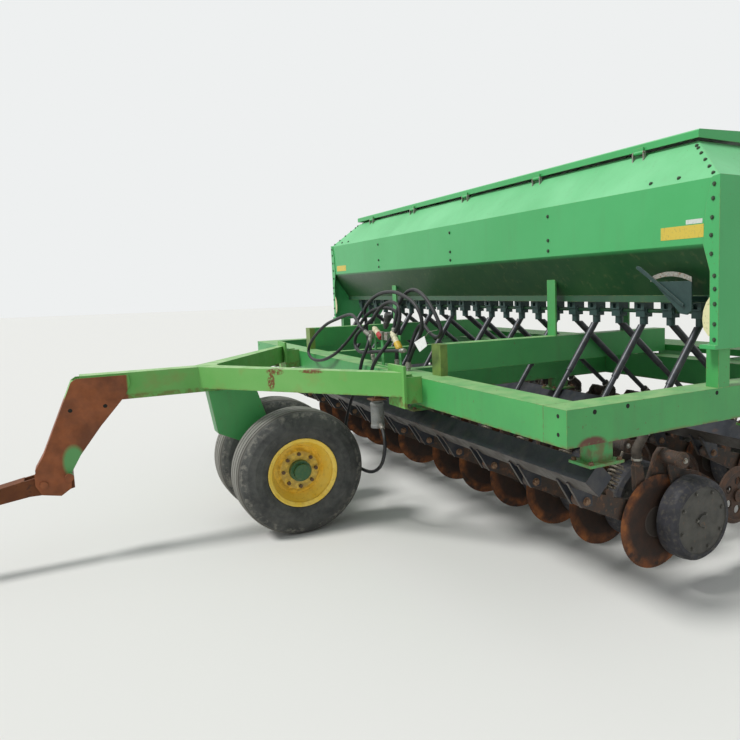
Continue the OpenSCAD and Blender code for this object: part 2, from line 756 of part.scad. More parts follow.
placed() main_frame();
placed() upper_beams();
placed() tongue();
placed() hitch_link();
placed() wheel_carriage();
placed() front_rims();
placed() front_tyres();
placed() rear_wheel_arms();
placed() left_rim();
placed() left_tyre();
placed() right_rim();
placed() right_tyre();
placed() seed_box();
placed() box_ends();
placed() box_posts();
placed() lid();
placed() lid_hinges();
placed() seed_cups();
placed() feed_drive();
placed() front_seed_tubes();
placed() rear_seed_tubes();
placed() front_opener_bar();
placed() rear_opener_bar();
placed() front_opener_arms();
placed() front_tail_arms();
placed() front_springs();
placed() front_discs();
placed() front_gauge_wheels();
placed() front_press_wheels();
placed() front_closing_wheels();
placed() rear_opener_arms();
placed() rear_tail_arms();
placed() rear_springs();
placed() rear_discs();
placed() rear_gauge_wheels();
placed() rear_press_wheels();
placed() rear_closing_wheels();
placed() walkboard();
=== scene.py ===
"""Seed drill: finishes, fastenings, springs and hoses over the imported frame, in metres."""
import bpy
import bmesh
import json
import math
import random
from mathutils import Matrix, Vector


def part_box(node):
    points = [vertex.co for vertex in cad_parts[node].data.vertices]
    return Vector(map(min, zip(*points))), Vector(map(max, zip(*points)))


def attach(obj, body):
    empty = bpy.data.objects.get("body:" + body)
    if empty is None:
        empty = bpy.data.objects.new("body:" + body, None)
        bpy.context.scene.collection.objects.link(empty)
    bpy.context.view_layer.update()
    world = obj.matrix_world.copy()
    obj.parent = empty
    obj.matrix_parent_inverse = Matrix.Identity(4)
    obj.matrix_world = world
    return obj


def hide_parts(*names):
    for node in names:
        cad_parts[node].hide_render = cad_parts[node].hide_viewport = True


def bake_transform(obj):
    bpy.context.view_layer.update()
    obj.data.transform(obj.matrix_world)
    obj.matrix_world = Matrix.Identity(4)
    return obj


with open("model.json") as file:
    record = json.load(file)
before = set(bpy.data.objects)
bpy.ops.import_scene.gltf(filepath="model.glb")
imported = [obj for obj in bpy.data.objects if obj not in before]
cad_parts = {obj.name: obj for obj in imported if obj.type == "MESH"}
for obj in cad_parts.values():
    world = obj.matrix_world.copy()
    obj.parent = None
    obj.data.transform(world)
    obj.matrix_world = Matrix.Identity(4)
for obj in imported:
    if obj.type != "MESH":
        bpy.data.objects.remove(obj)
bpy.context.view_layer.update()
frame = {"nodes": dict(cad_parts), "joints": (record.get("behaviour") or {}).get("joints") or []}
nodes = frame["nodes"]

# Camera: the photograph is the left part of a 4:3 picture, which the shift takes up.
PHOTO_SIDE = 740
PHOTO_CENTRE_X = 493
LENS_MM = 33.26
EYE = Vector((4.471, -1.880, 1.500))
FORWARD = Vector((-0.842, 0.526, -0.122)).normalized()
DOWN = Vector((0.090, -0.086, -0.992))

eye = bpy.data.objects.new("eye", bpy.data.cameras.new("eye"))
bpy.context.scene.collection.objects.link(eye)
up = -(DOWN - FORWARD * DOWN.dot(FORWARD)).normalized()
right = FORWARD.cross(up).normalized()
eye.matrix_world = Matrix((
    (right.x, up.x, -FORWARD.x, EYE.x),
    (right.y, up.y, -FORWARD.y, EYE.y),
    (right.z, up.z, -FORWARD.z, EYE.z),
    (0, 0, 0, 1)))
eye.data.lens = LENS_MM
eye.data.sensor_width = 36
eye.data.clip_end = 200
eye.data.shift_x = -(PHOTO_CENTRE_X - PHOTO_SIDE / 2) / PHOTO_SIDE
bpy.context.scene.camera = eye
bpy.context.scene.view_settings.view_transform = "Standard"

# Directions, the rows' places and the axles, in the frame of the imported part.
X_AXIS = Vector((1, 0, 0))
Y_AXIS = Vector((0, 1, 0))
Z_AXIS = Vector((0, 0, 1))
SHIFT_Y = 0.730                      # the cup line's place along Y
ROW = 0.1905                         # spacing of the rows, which take turns between front and rear
FRONT_ROWS = [side * ROW * (i + 0.5) for i in range(1, 12, 2) for side in (1, -1)]
REAR_ROWS = [side * ROW * (i + 0.5) for i in range(0, 12, 2) for side in (1, -1)]
pins = {j["name"]: Vector(j["pos_m"]) for j in frame["joints"]}


def at(x, y, z):
    """A place measured from the cup line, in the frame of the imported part."""
    return Vector((x, y + SHIFT_Y, z))


# MATERIALS

def srgb(code):
    """An sRGB hex colour as linear RGBA."""
    parts = [int(code[i:i + 2], 16) / 255 for i in (1, 3, 5)]
    return tuple(c / 12.92 if c <= 0.04045 else ((c + 0.055) / 1.055) ** 2.4 for c in parts) + (1.0,)


class Recipe:
    """The nodes of one material, or of the sky, while they are joined. A mask is a value from 0 to 1."""

    def __init__(self, name, owner=None):
        self.owner = owner or bpy.data.materials.new(name)
        self.owner.use_nodes = True
        self.tree = self.owner.node_tree
        self.tree.nodes.clear()
        self.metres = None if owner else self.add("ShaderNodeTexCoord").outputs["Object"]

    def add(self, kind, links=None, **settings):
        """Adds a node with its settings. Each input takes a socket, a plain value or a hex colour."""
        made = self.tree.nodes.new(kind)
        for key, value in settings.items():
            setattr(made, key, value)
        for key, value in (links or {}).items():
            if isinstance(value, bpy.types.NodeSocket):
                self.tree.links.new(value, made.inputs[key])
            else:
                made.inputs[key].default_value = srgb(value) if isinstance(value, str) else value
        return made

    def over(self, colour, coat, *masks, share=1.0):
        """A second coat laid over a colour, as thick as its share and all its masks together let it."""
        amount = share
        for mask in masks:
            amount = self.add("ShaderNodeMath", {0: mask, 1: amount}, operation="MULTIPLY").outputs[0]
        # Inputs 6 and 7 and output 2 are the node's colours. The others hold its numbers and vectors.
        return self.add("ShaderNodeMix", {0: amount, 6: colour, 7: coat}, data_type="RGBA").outputs[2]

    def mottle(self, size_mm, low=0.4, high=0.6, detail=4.0, stretch=(1, 1, 1), offset=0.0):
        """Soft patches of a real size. The offset keeps one set of patches off another."""
        place = self.add("ShaderNodeMapping", {
            "Vector": self.metres, "Scale": stretch,
            "Location": (offset, offset * 0.7, offset * 1.3)}).outputs[0]
        patch = self.add("ShaderNodeTexNoise", {
            "Vector": place, "Scale": 1000.0 / size_mm, "Detail": detail, "Roughness": 0.6}).outputs["Fac"]
        return self.add("ShaderNodeMapRange", {
            "Value": patch, "From Min": low, "From Max": high}).outputs[0]

    def patchy(self, size_mm, low, high):
        """A value that drifts between two others over patches, as a worn gloss does."""
        return self.add("ShaderNodeMapRange", {
            "Value": self.mottle(size_mm), "To Min": low, "To Max": high}).outputs[0]

    def edges(self, width_mm, low=0.02, high=0.25):
        """1 along sharp edges, where paint wears through, and 0 on flat metal."""
        soft = self.add("ShaderNodeBevel", {"Radius": width_mm / 1000}, samples=6).outputs[0]
        flat = self.add("ShaderNodeNewGeometry").outputs["Normal"]
        along = self.add("ShaderNodeVectorMath", {0: soft, 1: flat}, operation="DOT_PRODUCT").outputs["Value"]
        turned = self.add("ShaderNodeMath", {0: 1.0, 1: along}, operation="SUBTRACT").outputs[0]
        return self.add("ShaderNodeMapRange", {
            "Value": turned, "From Min": low, "From Max": high}).outputs[0]

    def upward(self, low=0.2, high=0.9):
        """1 where the surface looks up, in the piece's own frame."""
        normal = self.add("ShaderNodeTexCoord").outputs["Normal"]
        rise = self.add("ShaderNodeSeparateXYZ", {0: normal}).outputs[2]
        return self.add("ShaderNodeMapRange", {"Value": rise, "From Min": low, "From Max": high}).outputs[0]

    def along(self, axis, low, high):
        """0 at one place along an axis of the piece's own frame and 1 at another."""
        place = self.add("ShaderNodeSeparateXYZ", {0: self.metres}).outputs[axis]
        return self.add("ShaderNodeMapRange", {"Value": place, "From Min": low, "From Max": high}).outputs[0]

    def height(self, low, high):
        """0 at one height and 1 at another."""
        return self.along(2, low, high)

    def slab(self, axis, low, high, soft=0.002):
        """1 between two places along an axis."""
        return self.add("ShaderNodeMath", {
            0: self.along(axis, low - soft, low),
            1: self.along(axis, high + soft, high)}, operation="MULTIPLY").outputs[0]

    def aside(self, middle, low, high):
        """From 0 to 1 with the distance across from the middle plane of a piece on either half."""
        across = self.add("ShaderNodeSeparateXYZ", {0: self.metres}).outputs[0]
        out = self.add("ShaderNodeMath", {0: across}, operation="ABSOLUTE").outputs[0]
        off = self.add("ShaderNodeMath", {0: out, 1: middle}, operation="SUBTRACT").outputs[0]
        away = self.add("ShaderNodeMath", {0: off}, operation="ABSOLUTE").outputs[0]
        return self.add("ShaderNodeMapRange", {"Value": away, "From Min": low, "From Max": high}).outputs[0]

    def radius(self, axle):
        """Distance in metres from an axle that runs along X."""
        off = self.add("ShaderNodeVectorMath", {0: self.metres, 1: axle}, operation="SUBTRACT").outputs[0]
        flat = self.add("ShaderNodeVectorMath", {0: off, 1: (0, 1, 1)}, operation="MULTIPLY").outputs[0]
        return self.add("ShaderNodeVectorMath", {0: flat}, operation="LENGTH").outputs["Value"]

    def outward(self, axle, low, high):
        """0 at one distance from an axle and 1 at another."""
        return self.add("ShaderNodeMapRange", {
            "Value": self.radius(axle), "From Min": low, "From Max": high}).outputs[0]

    def within(self, centre, half, soft=0.25):
        """1 inside an ellipsoid around a place, fading over the soft share of its size."""
        off = self.add("ShaderNodeVectorMath", {0: self.metres, 1: centre}, operation="SUBTRACT").outputs[0]
        share = self.add("ShaderNodeVectorMath", {
            0: off, 1: tuple(1 / h for h in half)}, operation="MULTIPLY").outputs[0]
        away = self.add("ShaderNodeVectorMath", {0: share}, operation="LENGTH").outputs["Value"]
        return self.add("ShaderNodeMapRange", {
            "Value": away, "From Min": 1.0, "From Max": 1.0 - soft}).outputs[0]

    def finish(self, colour, roughness, bump=None, bump_mm=0.3, metallic=0.0, soften_mm=0.0, specular=0.5):
        """The finished material: its edges are softened and its grain is raised by real sizes."""
        surface = {"Base Color": colour, "Roughness": roughness, "Metallic": metallic,
                   "Specular IOR Level": specular}
        if soften_mm:
            rounded = self.add("ShaderNodeBevel", {"Radius": soften_mm / 1000}, samples=6)
            surface["Normal"] = rounded.outputs[0]
        if bump is not None:
            grain = {"Height": bump, "Distance": bump_mm / 1000, "Strength": 1.0}
            if soften_mm:
                grain["Normal"] = surface["Normal"]
            surface["Normal"] = self.add("ShaderNodeBump", grain).outputs[0]
        shader = self.add("ShaderNodeBsdfPrincipled", surface)
        self.add("ShaderNodeOutputMaterial", {"Surface": shader.outputs[0]})
        return self.owner


def field_enamel(name, fresh, chalk_and_sky_light, shade, rust=0.5, soften_mm=2.0, grime=0.5, gloss=0.42, local=None,
                 cloud_mm=90):
    """Sprayed enamel that has stood outside: chalky and pale where it looks up, partly painted sky light, and
    rusty at its edges.
    """
    r = Recipe(name)
    colour = r.over(fresh, shade, r.mottle(420, 0.35, 0.65))
    # Where the enamel looks up it is chalked, and paler still with painted sky light.
    fade_and_sky_light = r.add("ShaderNodeMath", {
        0: r.upward(0.05, 0.85), 1: r.mottle(cloud_mm, 0.15, 0.6)}, operation="MULTIPLY").outputs[0]
    colour = r.over(colour, chalk_and_sky_light, fade_and_sky_light, share=0.8)
    # Grime that rain has drawn down in streaks.
    colour = r.over(colour, "#55603f", r.mottle(60, 0.52, 0.75, stretch=(1, 1, 0.12)), share=0.35 * grime)
    # Thin paint along the edges, then bare rusty edges, then stone chips of about 16 mm.
    colour = r.over(colour, "#a7a65b", r.edges(5.0), r.mottle(45, 0.42, 0.62), share=0.75)
    colour = r.over(colour, "#6b4326", r.edges(4.0, 0.03, 0.22), r.mottle(90, 0.44, 0.6, offset=3.1),
                    share=rust)
    colour = r.over(colour, "#5d3c25", r.mottle(16, 0.70, 0.74, detail=2.0, offset=7.7), share=rust)
    if local:
        colour = local(r, colour)
    rough = r.add("ShaderNodeMapRange", {"Value": fade_and_sky_light, "To Min": gloss, "To Max": 0.62}).outputs[0]
    return r.finish(colour, rough, bump=r.mottle(6, 0.3, 0.7, detail=2.0), bump_mm=0.12, soften_mm=soften_mm)


FRAME_GREENS = ("#47a055", "#94b97c", "#3f9350")    # fresh, chalked and partly painted sky light, and shaded
SHEET_GREENS = ("#3fa35c", "#86cf98", "#45a862")


def frame_enamel():
    """Sprayed enamel on rolled tube: mid green sides, pale yellow-green tops of chalk and painted sky light,
    a brown line of rust below.
    """
    return field_enamel("sprayed_green_enamel_on_tube", *FRAME_GREENS, rust=0.7)


WET_CORNER = at(2.436, -0.885, 0.862)
WET_HALF = (0.03, 0.085, 0.045)
TUBE_BELLY = (0.882, 0.868)                         # heights between which the underside's rust comes up
CORNER_WELD = (2.281, 2.284)                        # along X


def corner_rust(r, colour):
    """The rust under the front corner, where mud stays wet, along the undersides and on the corner's weld."""
    colour = r.over(colour, "#5a3120", r.within(WET_CORNER, WET_HALF), r.mottle(30, 0.3, 0.42, offset=0.6))
    colour = r.over(colour, "#6d5a33", r.height(*TUBE_BELLY), r.mottle(55, 0.42, 0.58, offset=1.9),
                    share=0.75)
    return r.over(colour, "#5d4a2b", r.slab(0, *CORNER_WELD), r.mottle(25, 0.42, 0.5, offset=2.7), share=0.7)


def main_frame_enamel():
    """The frame's enamel, rusted through under one corner and along the lower edges."""
    return field_enamel("sprayed_green_enamel_on_main_frame", *FRAME_GREENS, rust=0.8, local=corner_rust)


POST_FRONT = at(0, -0.901, 0).y
POST_BACK = at(0, -0.858, 0).y


def olive_posts(r, colour):
    """Posts that were never recoated: the first thin coat has yellowed to olive."""
    olive = r.over("#7d8a3a", "#67712f", r.mottle(60, 0.4, 0.6))
    return r.over(colour, olive, r.slab(1, POST_FRONT, POST_BACK), share=0.8)


def upper_beam_enamel():
    """The frame's enamel with yellowed olive posts at the front ends."""
    return field_enamel("sprayed_green_enamel_on_upper_beams", *FRAME_GREENS, rust=0.6, local=olive_posts)


def box_enamel(name="sprayed_green_enamel_on_sheet", local=None):
    """Sprayed enamel on bent sheet: smooth and a little glossy, chalked to mint and painted with sky light
    where the panel slopes.
    """
    return field_enamel(name, *SHEET_GREENS, rust=0.35, soften_mm=4.0, grime=0.25, gloss=0.36, local=local,
                        cloud_mm=800)


# Below these heights the recess gets its painted shade and dust.
PANEL_FOOT = (1.664, 1.640)                         # heights between which the recess below the panel begins


def recess_painted_shade_and_dust(r, colour):
    """Painted shade under the front panel: the sheet in the recess is darkened to black-green, with patches
    of brown-green seed dust that rain never washes off.
    """
    # The near-black greens are painted shade; the paler brown-green over them is seed dust.
    recess_shade_and_dust = r.over("#16301b", "#263a22", r.mottle(120, 0.4, 0.6, offset=2.0))
    recess_shade_and_dust = r.over(recess_shade_and_dust, "#5d5a40", r.mottle(45, 0.58, 0.72, offset=4.0), share=0.7)
    return r.over(colour, recess_shade_and_dust, r.height(*PANEL_FOOT), share=0.88)


def seed_box_enamel():
    """The sheet enamel of the box, darkened by painted shade and dust under the front panel."""
    return box_enamel("sprayed_green_enamel_on_seed_box", recess_painted_shade_and_dust)


def drive_enamel_painted_shade():
    """Enamel on the feed channel, its greens darkened as painted shade, with seed dust drawn down it."""
    # The dark greens stand for the shade that falls over the channel.
    return field_enamel("green_enamel_with_painted_shade", "#2f5a3c", "#4a6a48", "#284c36", soften_mm=1.0, grime=0.8)


# Where the near slanting beam has lost its paint: centre and half sizes of each place.
BEAM_RUST = [
    (at(0.515, -1.600, 1.045), (0.07, 0.07, 0.022)),
    (at(0.500, -1.630, 0.990), (0.03, 0.03, 0.055)),
    (at(0.720, -1.455, 1.052), (0.09, 0.09, 0.012))]
BEAM_BELLY = (0.942, 0.93)
POLE_END = (at(0, -2.325, 0).y, at(0, -2.335, 0).y)
PLATE_SIDE = (0.064, 0.065)                         # how far from the middle the gooseneck plates' faces are
PLATE_LOW = (0.95, 0.93)
PLATE_FOOT = at(0.07, -2.625, 0.585)
PLATE_FOOT_HALF = (0.03, 0.06, 0.105)


def tongue_enamel():
    """The pole's green enamel, which gives way to brown primer on the gooseneck plates, green at the foot."""
    r = Recipe("green_enamel_and_red_oxide_primer")
    green = r.over("#5fa34f", "#70aa5b", r.mottle(420, 0.35, 0.65))
    # Chalk on the tops, with painted sky light there too.
    green = r.over(green, "#a3c68a", r.upward(0.05, 0.85), r.mottle(90, 0.25, 0.6))
    green = r.over(green, "#7f9450", r.mottle(140, 0.55, 0.7, offset=2.0), share=0.6)
    for centre, half in BEAM_RUST:
        green = r.over(green, "#6a4727", r.within(centre, half), r.mottle(14, 0.38, 0.52, offset=5.5))
    green = r.over(green, "#6d6331", r.height(*BEAM_BELLY), r.mottle(40, 0.45, 0.6, offset=0.4), share=0.7)
    brown = r.over("#96552f", "#6d3d22", r.mottle(150, 0.35, 0.65))
    brown = r.over(brown, "#4f6f42", r.mottle(60, 0.7, 0.76, offset=4.4), share=0.8)
    brown = r.over(brown, "#5d9a5c", r.within(PLATE_FOOT, PLATE_FOOT_HALF, 0.3))
    side_or_low = r.add("ShaderNodeMath", {
        0: r.aside(0, *PLATE_SIDE), 1: r.height(*PLATE_LOW)}, operation="MAXIMUM").outputs[0]
    colour = r.over(green, brown, r.along(1, *POLE_END), side_or_low)
    colour = r.over(colour, "#77552f", r.edges(4.0), r.mottle(60, 0.45, 0.6), share=0.6)
    return r.finish(colour, r.patchy(80, 0.45, 0.65), bump=r.mottle(7, 0.3, 0.7), bump_mm=0.2, soften_mm=2.0,
                    specular=0.35)


def primer():
    """Red oxide primer gone brown, with a bloom of rust: flat and slightly rough."""
    r = Recipe("red_oxide_primer")
    colour = r.over("#5d3219", "#70401f", r.mottle(110, 0.35, 0.65))
    colour = r.over(colour, "#3b2417", r.mottle(35, 0.58, 0.7, offset=2.2))
    colour = r.over(colour, "#7d583a", r.edges(3.0), share=0.5)
    return r.finish(colour, 0.68, bump=r.mottle(5, 0.3, 0.7), bump_mm=0.3, soften_mm=1.5, specular=0.3)


def wheel_enamel(name, axle, disc_x):
    """Yellow wheel enamel on pressed steel: clean on the barrel, brown around the nuts, green at the hub."""
    r = Recipe(name)
    colour = r.over("#f9cf45", "#fbda68", r.mottle(90, 0.35, 0.65))
    colour = r.over(colour, "#b0822a", r.mottle(26, 0.55, 0.75, offset=1.7), share=0.4)
    colour = r.over(colour, "#8f6a24", r.outward(axle, 0.15, 0.128), r.mottle(30, 0.35, 0.6, offset=4.1),
                    share=0.55)
    colour = r.over(colour, "#8a6430", r.edges(4.0), r.mottle(20, 0.48, 0.62))
    # The nuts are what stands proud of the disc in the ring where they sit.
    colour = r.over(colour, "#5b4326", r.outward(axle, 0.086, 0.088), r.outward(axle, 0.1155, 0.115),
                    r.aside(disc_x, 0.0008, 0.0016))
    # The hub was sprayed green with the frame, and dust lies over all of it.
    green = r.over("#33613c", "#47683a", r.mottle(18, 0.45, 0.6))
    colour = r.over(colour, green, r.outward(axle, 0.0665, 0.0655))
    colour = r.over(colour, "#a8976d", r.mottle(45, 0.55, 0.8, offset=5.0), share=0.3)
    return r.finish(colour, 0.42, bump=r.mottle(4, 0.3, 0.7), bump_mm=0.1, soften_mm=1.5)


SIDEWALL_RING_MM = 5.2


def tyre_rubber(name, axle, middle_x):
    """Ribbed vulcanised rubber, grey with age: dusty in the grooves and scuffed on the shoulder."""
    r = Recipe(name)
    colour = r.over("#3f403f", "#545552", r.mottle(70, 0.35, 0.65))
    colour = r.over(colour, "#6d6b64", r.mottle(40, 0.5, 0.75, offset=3.0), share=0.35)
    on_tread = r.aside(middle_x, 0.118, 0.108)
    # Dust on the tread, painted shade in its grooves, and a scuffed ring round the shoulder.
    colour = r.over(colour, "#8a8880", r.outward(axle, 0.372, 0.384), on_tread, share=0.75)
    colour = r.over(colour, "#3a3731", r.outward(axle, 0.387, 0.383), r.outward(axle, 0.376, 0.38), on_tread,
                    share=0.7)
    colour = r.over(colour, "#8d8a80", r.outward(axle, 0.335, 0.35), r.outward(axle, 0.38, 0.368),
                    r.mottle(35, 0.48, 0.66, offset=6.3), share=0.7)
    # Fine moulded rings on the sidewall, over the grain of the rubber.
    turns = r.add("ShaderNodeMath", {
        0: r.radius(axle), 1: 2000 * math.pi / SIDEWALL_RING_MM}, operation="MULTIPLY").outputs[0]
    rings = r.add("ShaderNodeMath", {0: turns}, operation="SINE").outputs[0]
    for low, high in ((0.3, 0.306), (0.352, 0.346)):
        rings = r.add("ShaderNodeMath", {
            0: rings, 1: r.outward(axle, low, high)}, operation="MULTIPLY").outputs[0]
    relief = r.add("ShaderNodeMath", {
        0: rings, 1: 0.5, 2: r.mottle(3, 0.3, 0.7, detail=2.0)}, operation="MULTIPLY_ADD").outputs[0]
    return r.finish(colour, r.patchy(60, 0.62, 0.8), bump=relief, bump_mm=0.5, specular=0.3)


def casting_enamel_painted_shade():
    """Blue-green enamel on the seed cup castings, darkened as painted shade: pitted and dusty on the ledges.
    """
    r = Recipe("blue_green_enamel_darkened_by_painted_shade")
    # The dark blue-greens are painted shade from the box above.
    colour = r.over("#1d3634", "#29433f", r.mottle(60, 0.35, 0.65))
    colour = r.over(colour, "#6f8780", r.edges(3.0), r.mottle(15, 0.4, 0.6))
    colour = r.over(colour, "#6f6d5c", r.upward(), share=0.2)
    return r.finish(colour, 0.55, bump=r.mottle(3, 0.3, 0.7), bump_mm=0.3, soften_mm=2.5)


def bar_enamel():
    """Blue-black enamel on the opener bars: dark and satin, with a brown bloom below and chipped corners."""
    r = Recipe("blue_black_enamel")
    colour = r.over("#20232b", "#2b2e35", r.mottle(260, 0.35, 0.65))
    colour = r.over(colour, "#413a32", r.upward(0.0, -0.3), share=0.8)
    colour = r.over(colour, "#57524a", r.mottle(70, 0.5, 0.7, offset=1.0), share=0.3)
    colour = r.over(colour, "#4d3526", r.mottle(120, 0.62, 0.74, offset=2.0))
    colour = r.over(colour, "#6a4a35", r.edges(4.0), r.mottle(50, 0.5, 0.6))
    return r.finish(colour, r.patchy(90, 0.4, 0.62), bump=r.mottle(6, 0.3, 0.7), bump_mm=0.2, soften_mm=3.0)


def arm_casting():
    """Cast iron arms, once dark enamel and now brown rust: rough, with grey worn bosses."""
    r = Recipe("rusted_cast_iron")
    colour = r.over("#4a3629", "#33302d", r.mottle(70, 0.35, 0.65))
    colour = r.over(colour, "#6e4a33", r.mottle(28, 0.55, 0.7, offset=3.3))
    colour = r.over(colour, "#8a7460", r.edges(3.0), share=0.5)
    return r.finish(colour, 0.72, bump=r.mottle(4, 0.3, 0.7, detail=5.0), bump_mm=0.6, soften_mm=2.0)


def disc_steel(name, axle):
    """Rolled disc steel: dark brown in the middle, with a ring of fresh orange rust where soil scours it."""
    r = Recipe(name)
    colour = r.over("#3c271c", "#2a1f19", r.mottle(55, 0.35, 0.65))
    colour = r.over(colour, "#291d17", r.mottle(24, 0.58, 0.7, offset=6.0))
    orange = r.over("#7a4420", "#9a5c2b", r.mottle(40, 0.4, 0.6, offset=7.0))
    colour = r.over(colour, orange, r.outward(axle, 0.168, 0.2), r.mottle(80, 0.36, 0.62, offset=2.0),
                    share=0.9)
    colour = r.over(colour, "#3a332e", r.outward(axle, 0.078, 0.072))
    return r.finish(colour, 0.66, bump=r.mottle(3, 0.3, 0.7, detail=5.0), bump_mm=0.35, metallic=0.15)


def gauge_rubber(name, axle):
    """Moulded black rubber on a dish of dark painted steel: the rubber is dull, the bolted plate greyer."""
    r = Recipe(name)
    rubber = r.over("#29292c", "#35353a", r.mottle(60, 0.35, 0.65))
    rubber = r.over(rubber, "#5c574d", r.mottle(22, 0.5, 0.7, offset=1.1), share=0.6)
    plate = r.over("#454440", "#54524c", r.mottle(70, 0.35, 0.65))
    plate = r.over(plate, "#6a5442", r.mottle(24, 0.62, 0.76, offset=2.6))
    colour = r.over(rubber, plate, r.outward(axle, 0.165, 0.161))
    return r.finish(colour, r.patchy(50, 0.5, 0.7), bump=r.mottle(3, 0.3, 0.7), bump_mm=0.25, soften_mm=2.5,
                    specular=0.35)


def press_rubber():
    """Moulded black rubber band on a small wheel: dull, dusty."""
    r = Recipe("moulded_press_wheel_rubber")
    colour = r.over("#303031", "#4b463e", r.mottle(40, 0.35, 0.65))
    return r.finish(colour, 0.7, bump=r.mottle(3), bump_mm=0.2, soften_mm=1.5, specular=0.3)


def closing_casting():
    """Cast iron closing wheels: dark brown rust with a paler worn rim."""
    r = Recipe("cast_iron_closing_wheel")
    colour = r.over("#553b2b", "#3b302a", r.mottle(45, 0.35, 0.65))
    colour = r.over(colour, "#86705c", r.edges(4.0), share=0.6)
    return r.finish(colour, 0.68, bump=r.mottle(4, 0.3, 0.7), bump_mm=0.5, soften_mm=2.0, metallic=0.1)


def tube_steel():
    """Drawn tube, dull grey and freckled with brown."""
    r = Recipe("drawn_steel_tube")
    colour = r.over("#2f3135", "#46484c", r.mottle(60, 0.35, 0.65))
    colour = r.over(colour, "#4d3c31", r.mottle(24, 0.6, 0.72, offset=1.4))
    return r.finish(colour, 0.38, bump=r.mottle(3), bump_mm=0.1, metallic=0.35)


def spring_steel():
    """Oil-tempered spring wire in worn black enamel, with a line of light on each coil."""
    r = Recipe("oil_tempered_spring_wire")
    colour = r.over("#7b7264", "#4a443d", r.mottle(20, 0.4, 0.6))
    colour = r.over(colour, "#6b4c36", r.mottle(12, 0.62, 0.7, offset=2.0))
    return r.finish(colour, 0.4, bump=r.mottle(2), bump_mm=0.1, metallic=0.4)


def zinc_plate():
    """Zinc plated bolts, dull grey with white bloom and rust in freckles."""
    r = Recipe("zinc_plated_steel")
    colour = r.over("#8a8983", "#a9a69c", r.mottle(9, 0.4, 0.6))
    colour = r.over(colour, "#7c6049", r.mottle(12, 0.55, 0.65, offset=3.0))
    return r.finish(colour, 0.45, bump=r.mottle(2), bump_mm=0.1, metallic=0.6)


def rusty_bolt():
    """Plain bolts gone brown, rough as the castings that they hold."""
    r = Recipe("rusted_bolt_steel")
    colour = r.over("#6b4b37", "#8a7058", r.mottle(9, 0.4, 0.6))
    return r.finish(colour, 0.68, bump=r.mottle(2), bump_mm=0.2, metallic=0.2)


def dark_bolt():
    """Painted bolt heads in the panels, green once and now dark with dirt."""
    r = Recipe("dirty_painted_bolt")
    return r.finish(r.over("#27402c", "#3c4a34", r.mottle(8, 0.4, 0.6)), 0.6)


def hose_rubber():
    """Extruded hydraulic hose cover: black, with a painted sheen of paler grey on top, dusty in places."""
    r = Recipe("hydraulic_hose_rubber")
    colour = r.over("#1b1c1f", "#2a2b2d", r.mottle(40, 0.35, 0.65))
    # Paler grey where the hose looks up is a painted sheen.
    colour = r.over(colour, "#55534e", r.upward(0.3, 0.9), share=0.35)
    return r.finish(colour, 0.5, bump=r.mottle(2), bump_mm=0.1, specular=0.4)


def dust_hose_rubber():
    """Corrugated rubber hose gone grey-brown with field dust."""
    r = Recipe("corrugated_dust_hose_rubber")
    colour = r.over("#3f3a35", "#544c44", r.mottle(30, 0.35, 0.65))
    return r.finish(colour, 0.75, bump=r.mottle(3), bump_mm=0.2, specular=0.3)


def flat_paint(name, colour, worn, roughness=0.5):
    """One coat of paint or moulded plastic, scratched in patches."""
    r = Recipe(name)
    return r.finish(r.over(colour, worn, r.mottle(12, 0.55, 0.7)), roughness, bump=r.mottle(3), bump_mm=0.05)


CAP_PLATE_FOOT = (0.812, 0.816)


def lift_cylinder_finish():
    """Drawn cylinder barrel in worn grey paint under a rusty top plate."""
    r = Recipe("worn_grey_cylinder_paint")
    colour = r.over("#6d6f6e", "#858682", r.mottle(50, 0.35, 0.65))
    colour = r.over(colour, "#6b5747", r.mottle(25, 0.58, 0.7, offset=1.2))
    colour = r.over(colour, "#63422c", r.height(*CAP_PLATE_FOOT))
    return r.finish(colour, 0.5, bump=r.mottle(4), bump_mm=0.15, soften_mm=1.5)


FRONT_WHEEL_X = 0.265
DISC_ASIDE = 0.022                   # from a wheel's middle plane out to the face of its disc
SHARP = math.radians(28)             # a turn of the surface that stays an edge
FRONT_AXLE = pins["front_wheel_spin"]
REAR_AXLE = pins["left_wheel_spin"]
frame_green = frame_enamel()
box_green = box_enamel()
iron = arm_casting()
springs = spring_steel()
tube_grey = tube_steel()
closing_iron = closing_casting()
press_black = press_rubber()
bar_black = bar_enamel()
zinc = zinc_plate()
brown_bolt = rusty_bolt()
dusty_bolt = flat_paint("dusty_bolt_steel", "#4a4842", "#8f8b80", 0.55)
panel_bolt = dark_bolt()
cylinder_grey = lift_cylinder_finish()
hose_black = hose_rubber()
dust_grey = dust_hose_rubber()
coupler_red = flat_paint("red_coupler_cap_plastic", "#a5271f", "#7d3a30")
coupler_yellow = flat_paint("yellow_coupler_cap_plastic", "#c9a52c", "#8f7a35")
coupler_dark = flat_paint("oily_coupler_steel", "#3a3a38", "#57534b")
coupler_pale = flat_paint("bleached_coupler_cap_plastic", "#cfc9a8", "#9a8f63")
shield_cream = flat_paint("cream_shield_paint", "#d8d3a4", "#a9a377")
tape_yellow = flat_paint("yellow_reflective_tape", "#cdb445", "#a89a4a", 0.4)
strip_white = flat_paint("white_vinyl_strip", "#c9cfc6", "#a8b5a5", 0.45)
tag_white = flat_paint("white_card_tag", "#e9e9e6", "#d6d7d3", 0.6)
shadow_hole = flat_paint("painted_shade_in_hole", "#12160f", "#1c2217", 0.9)

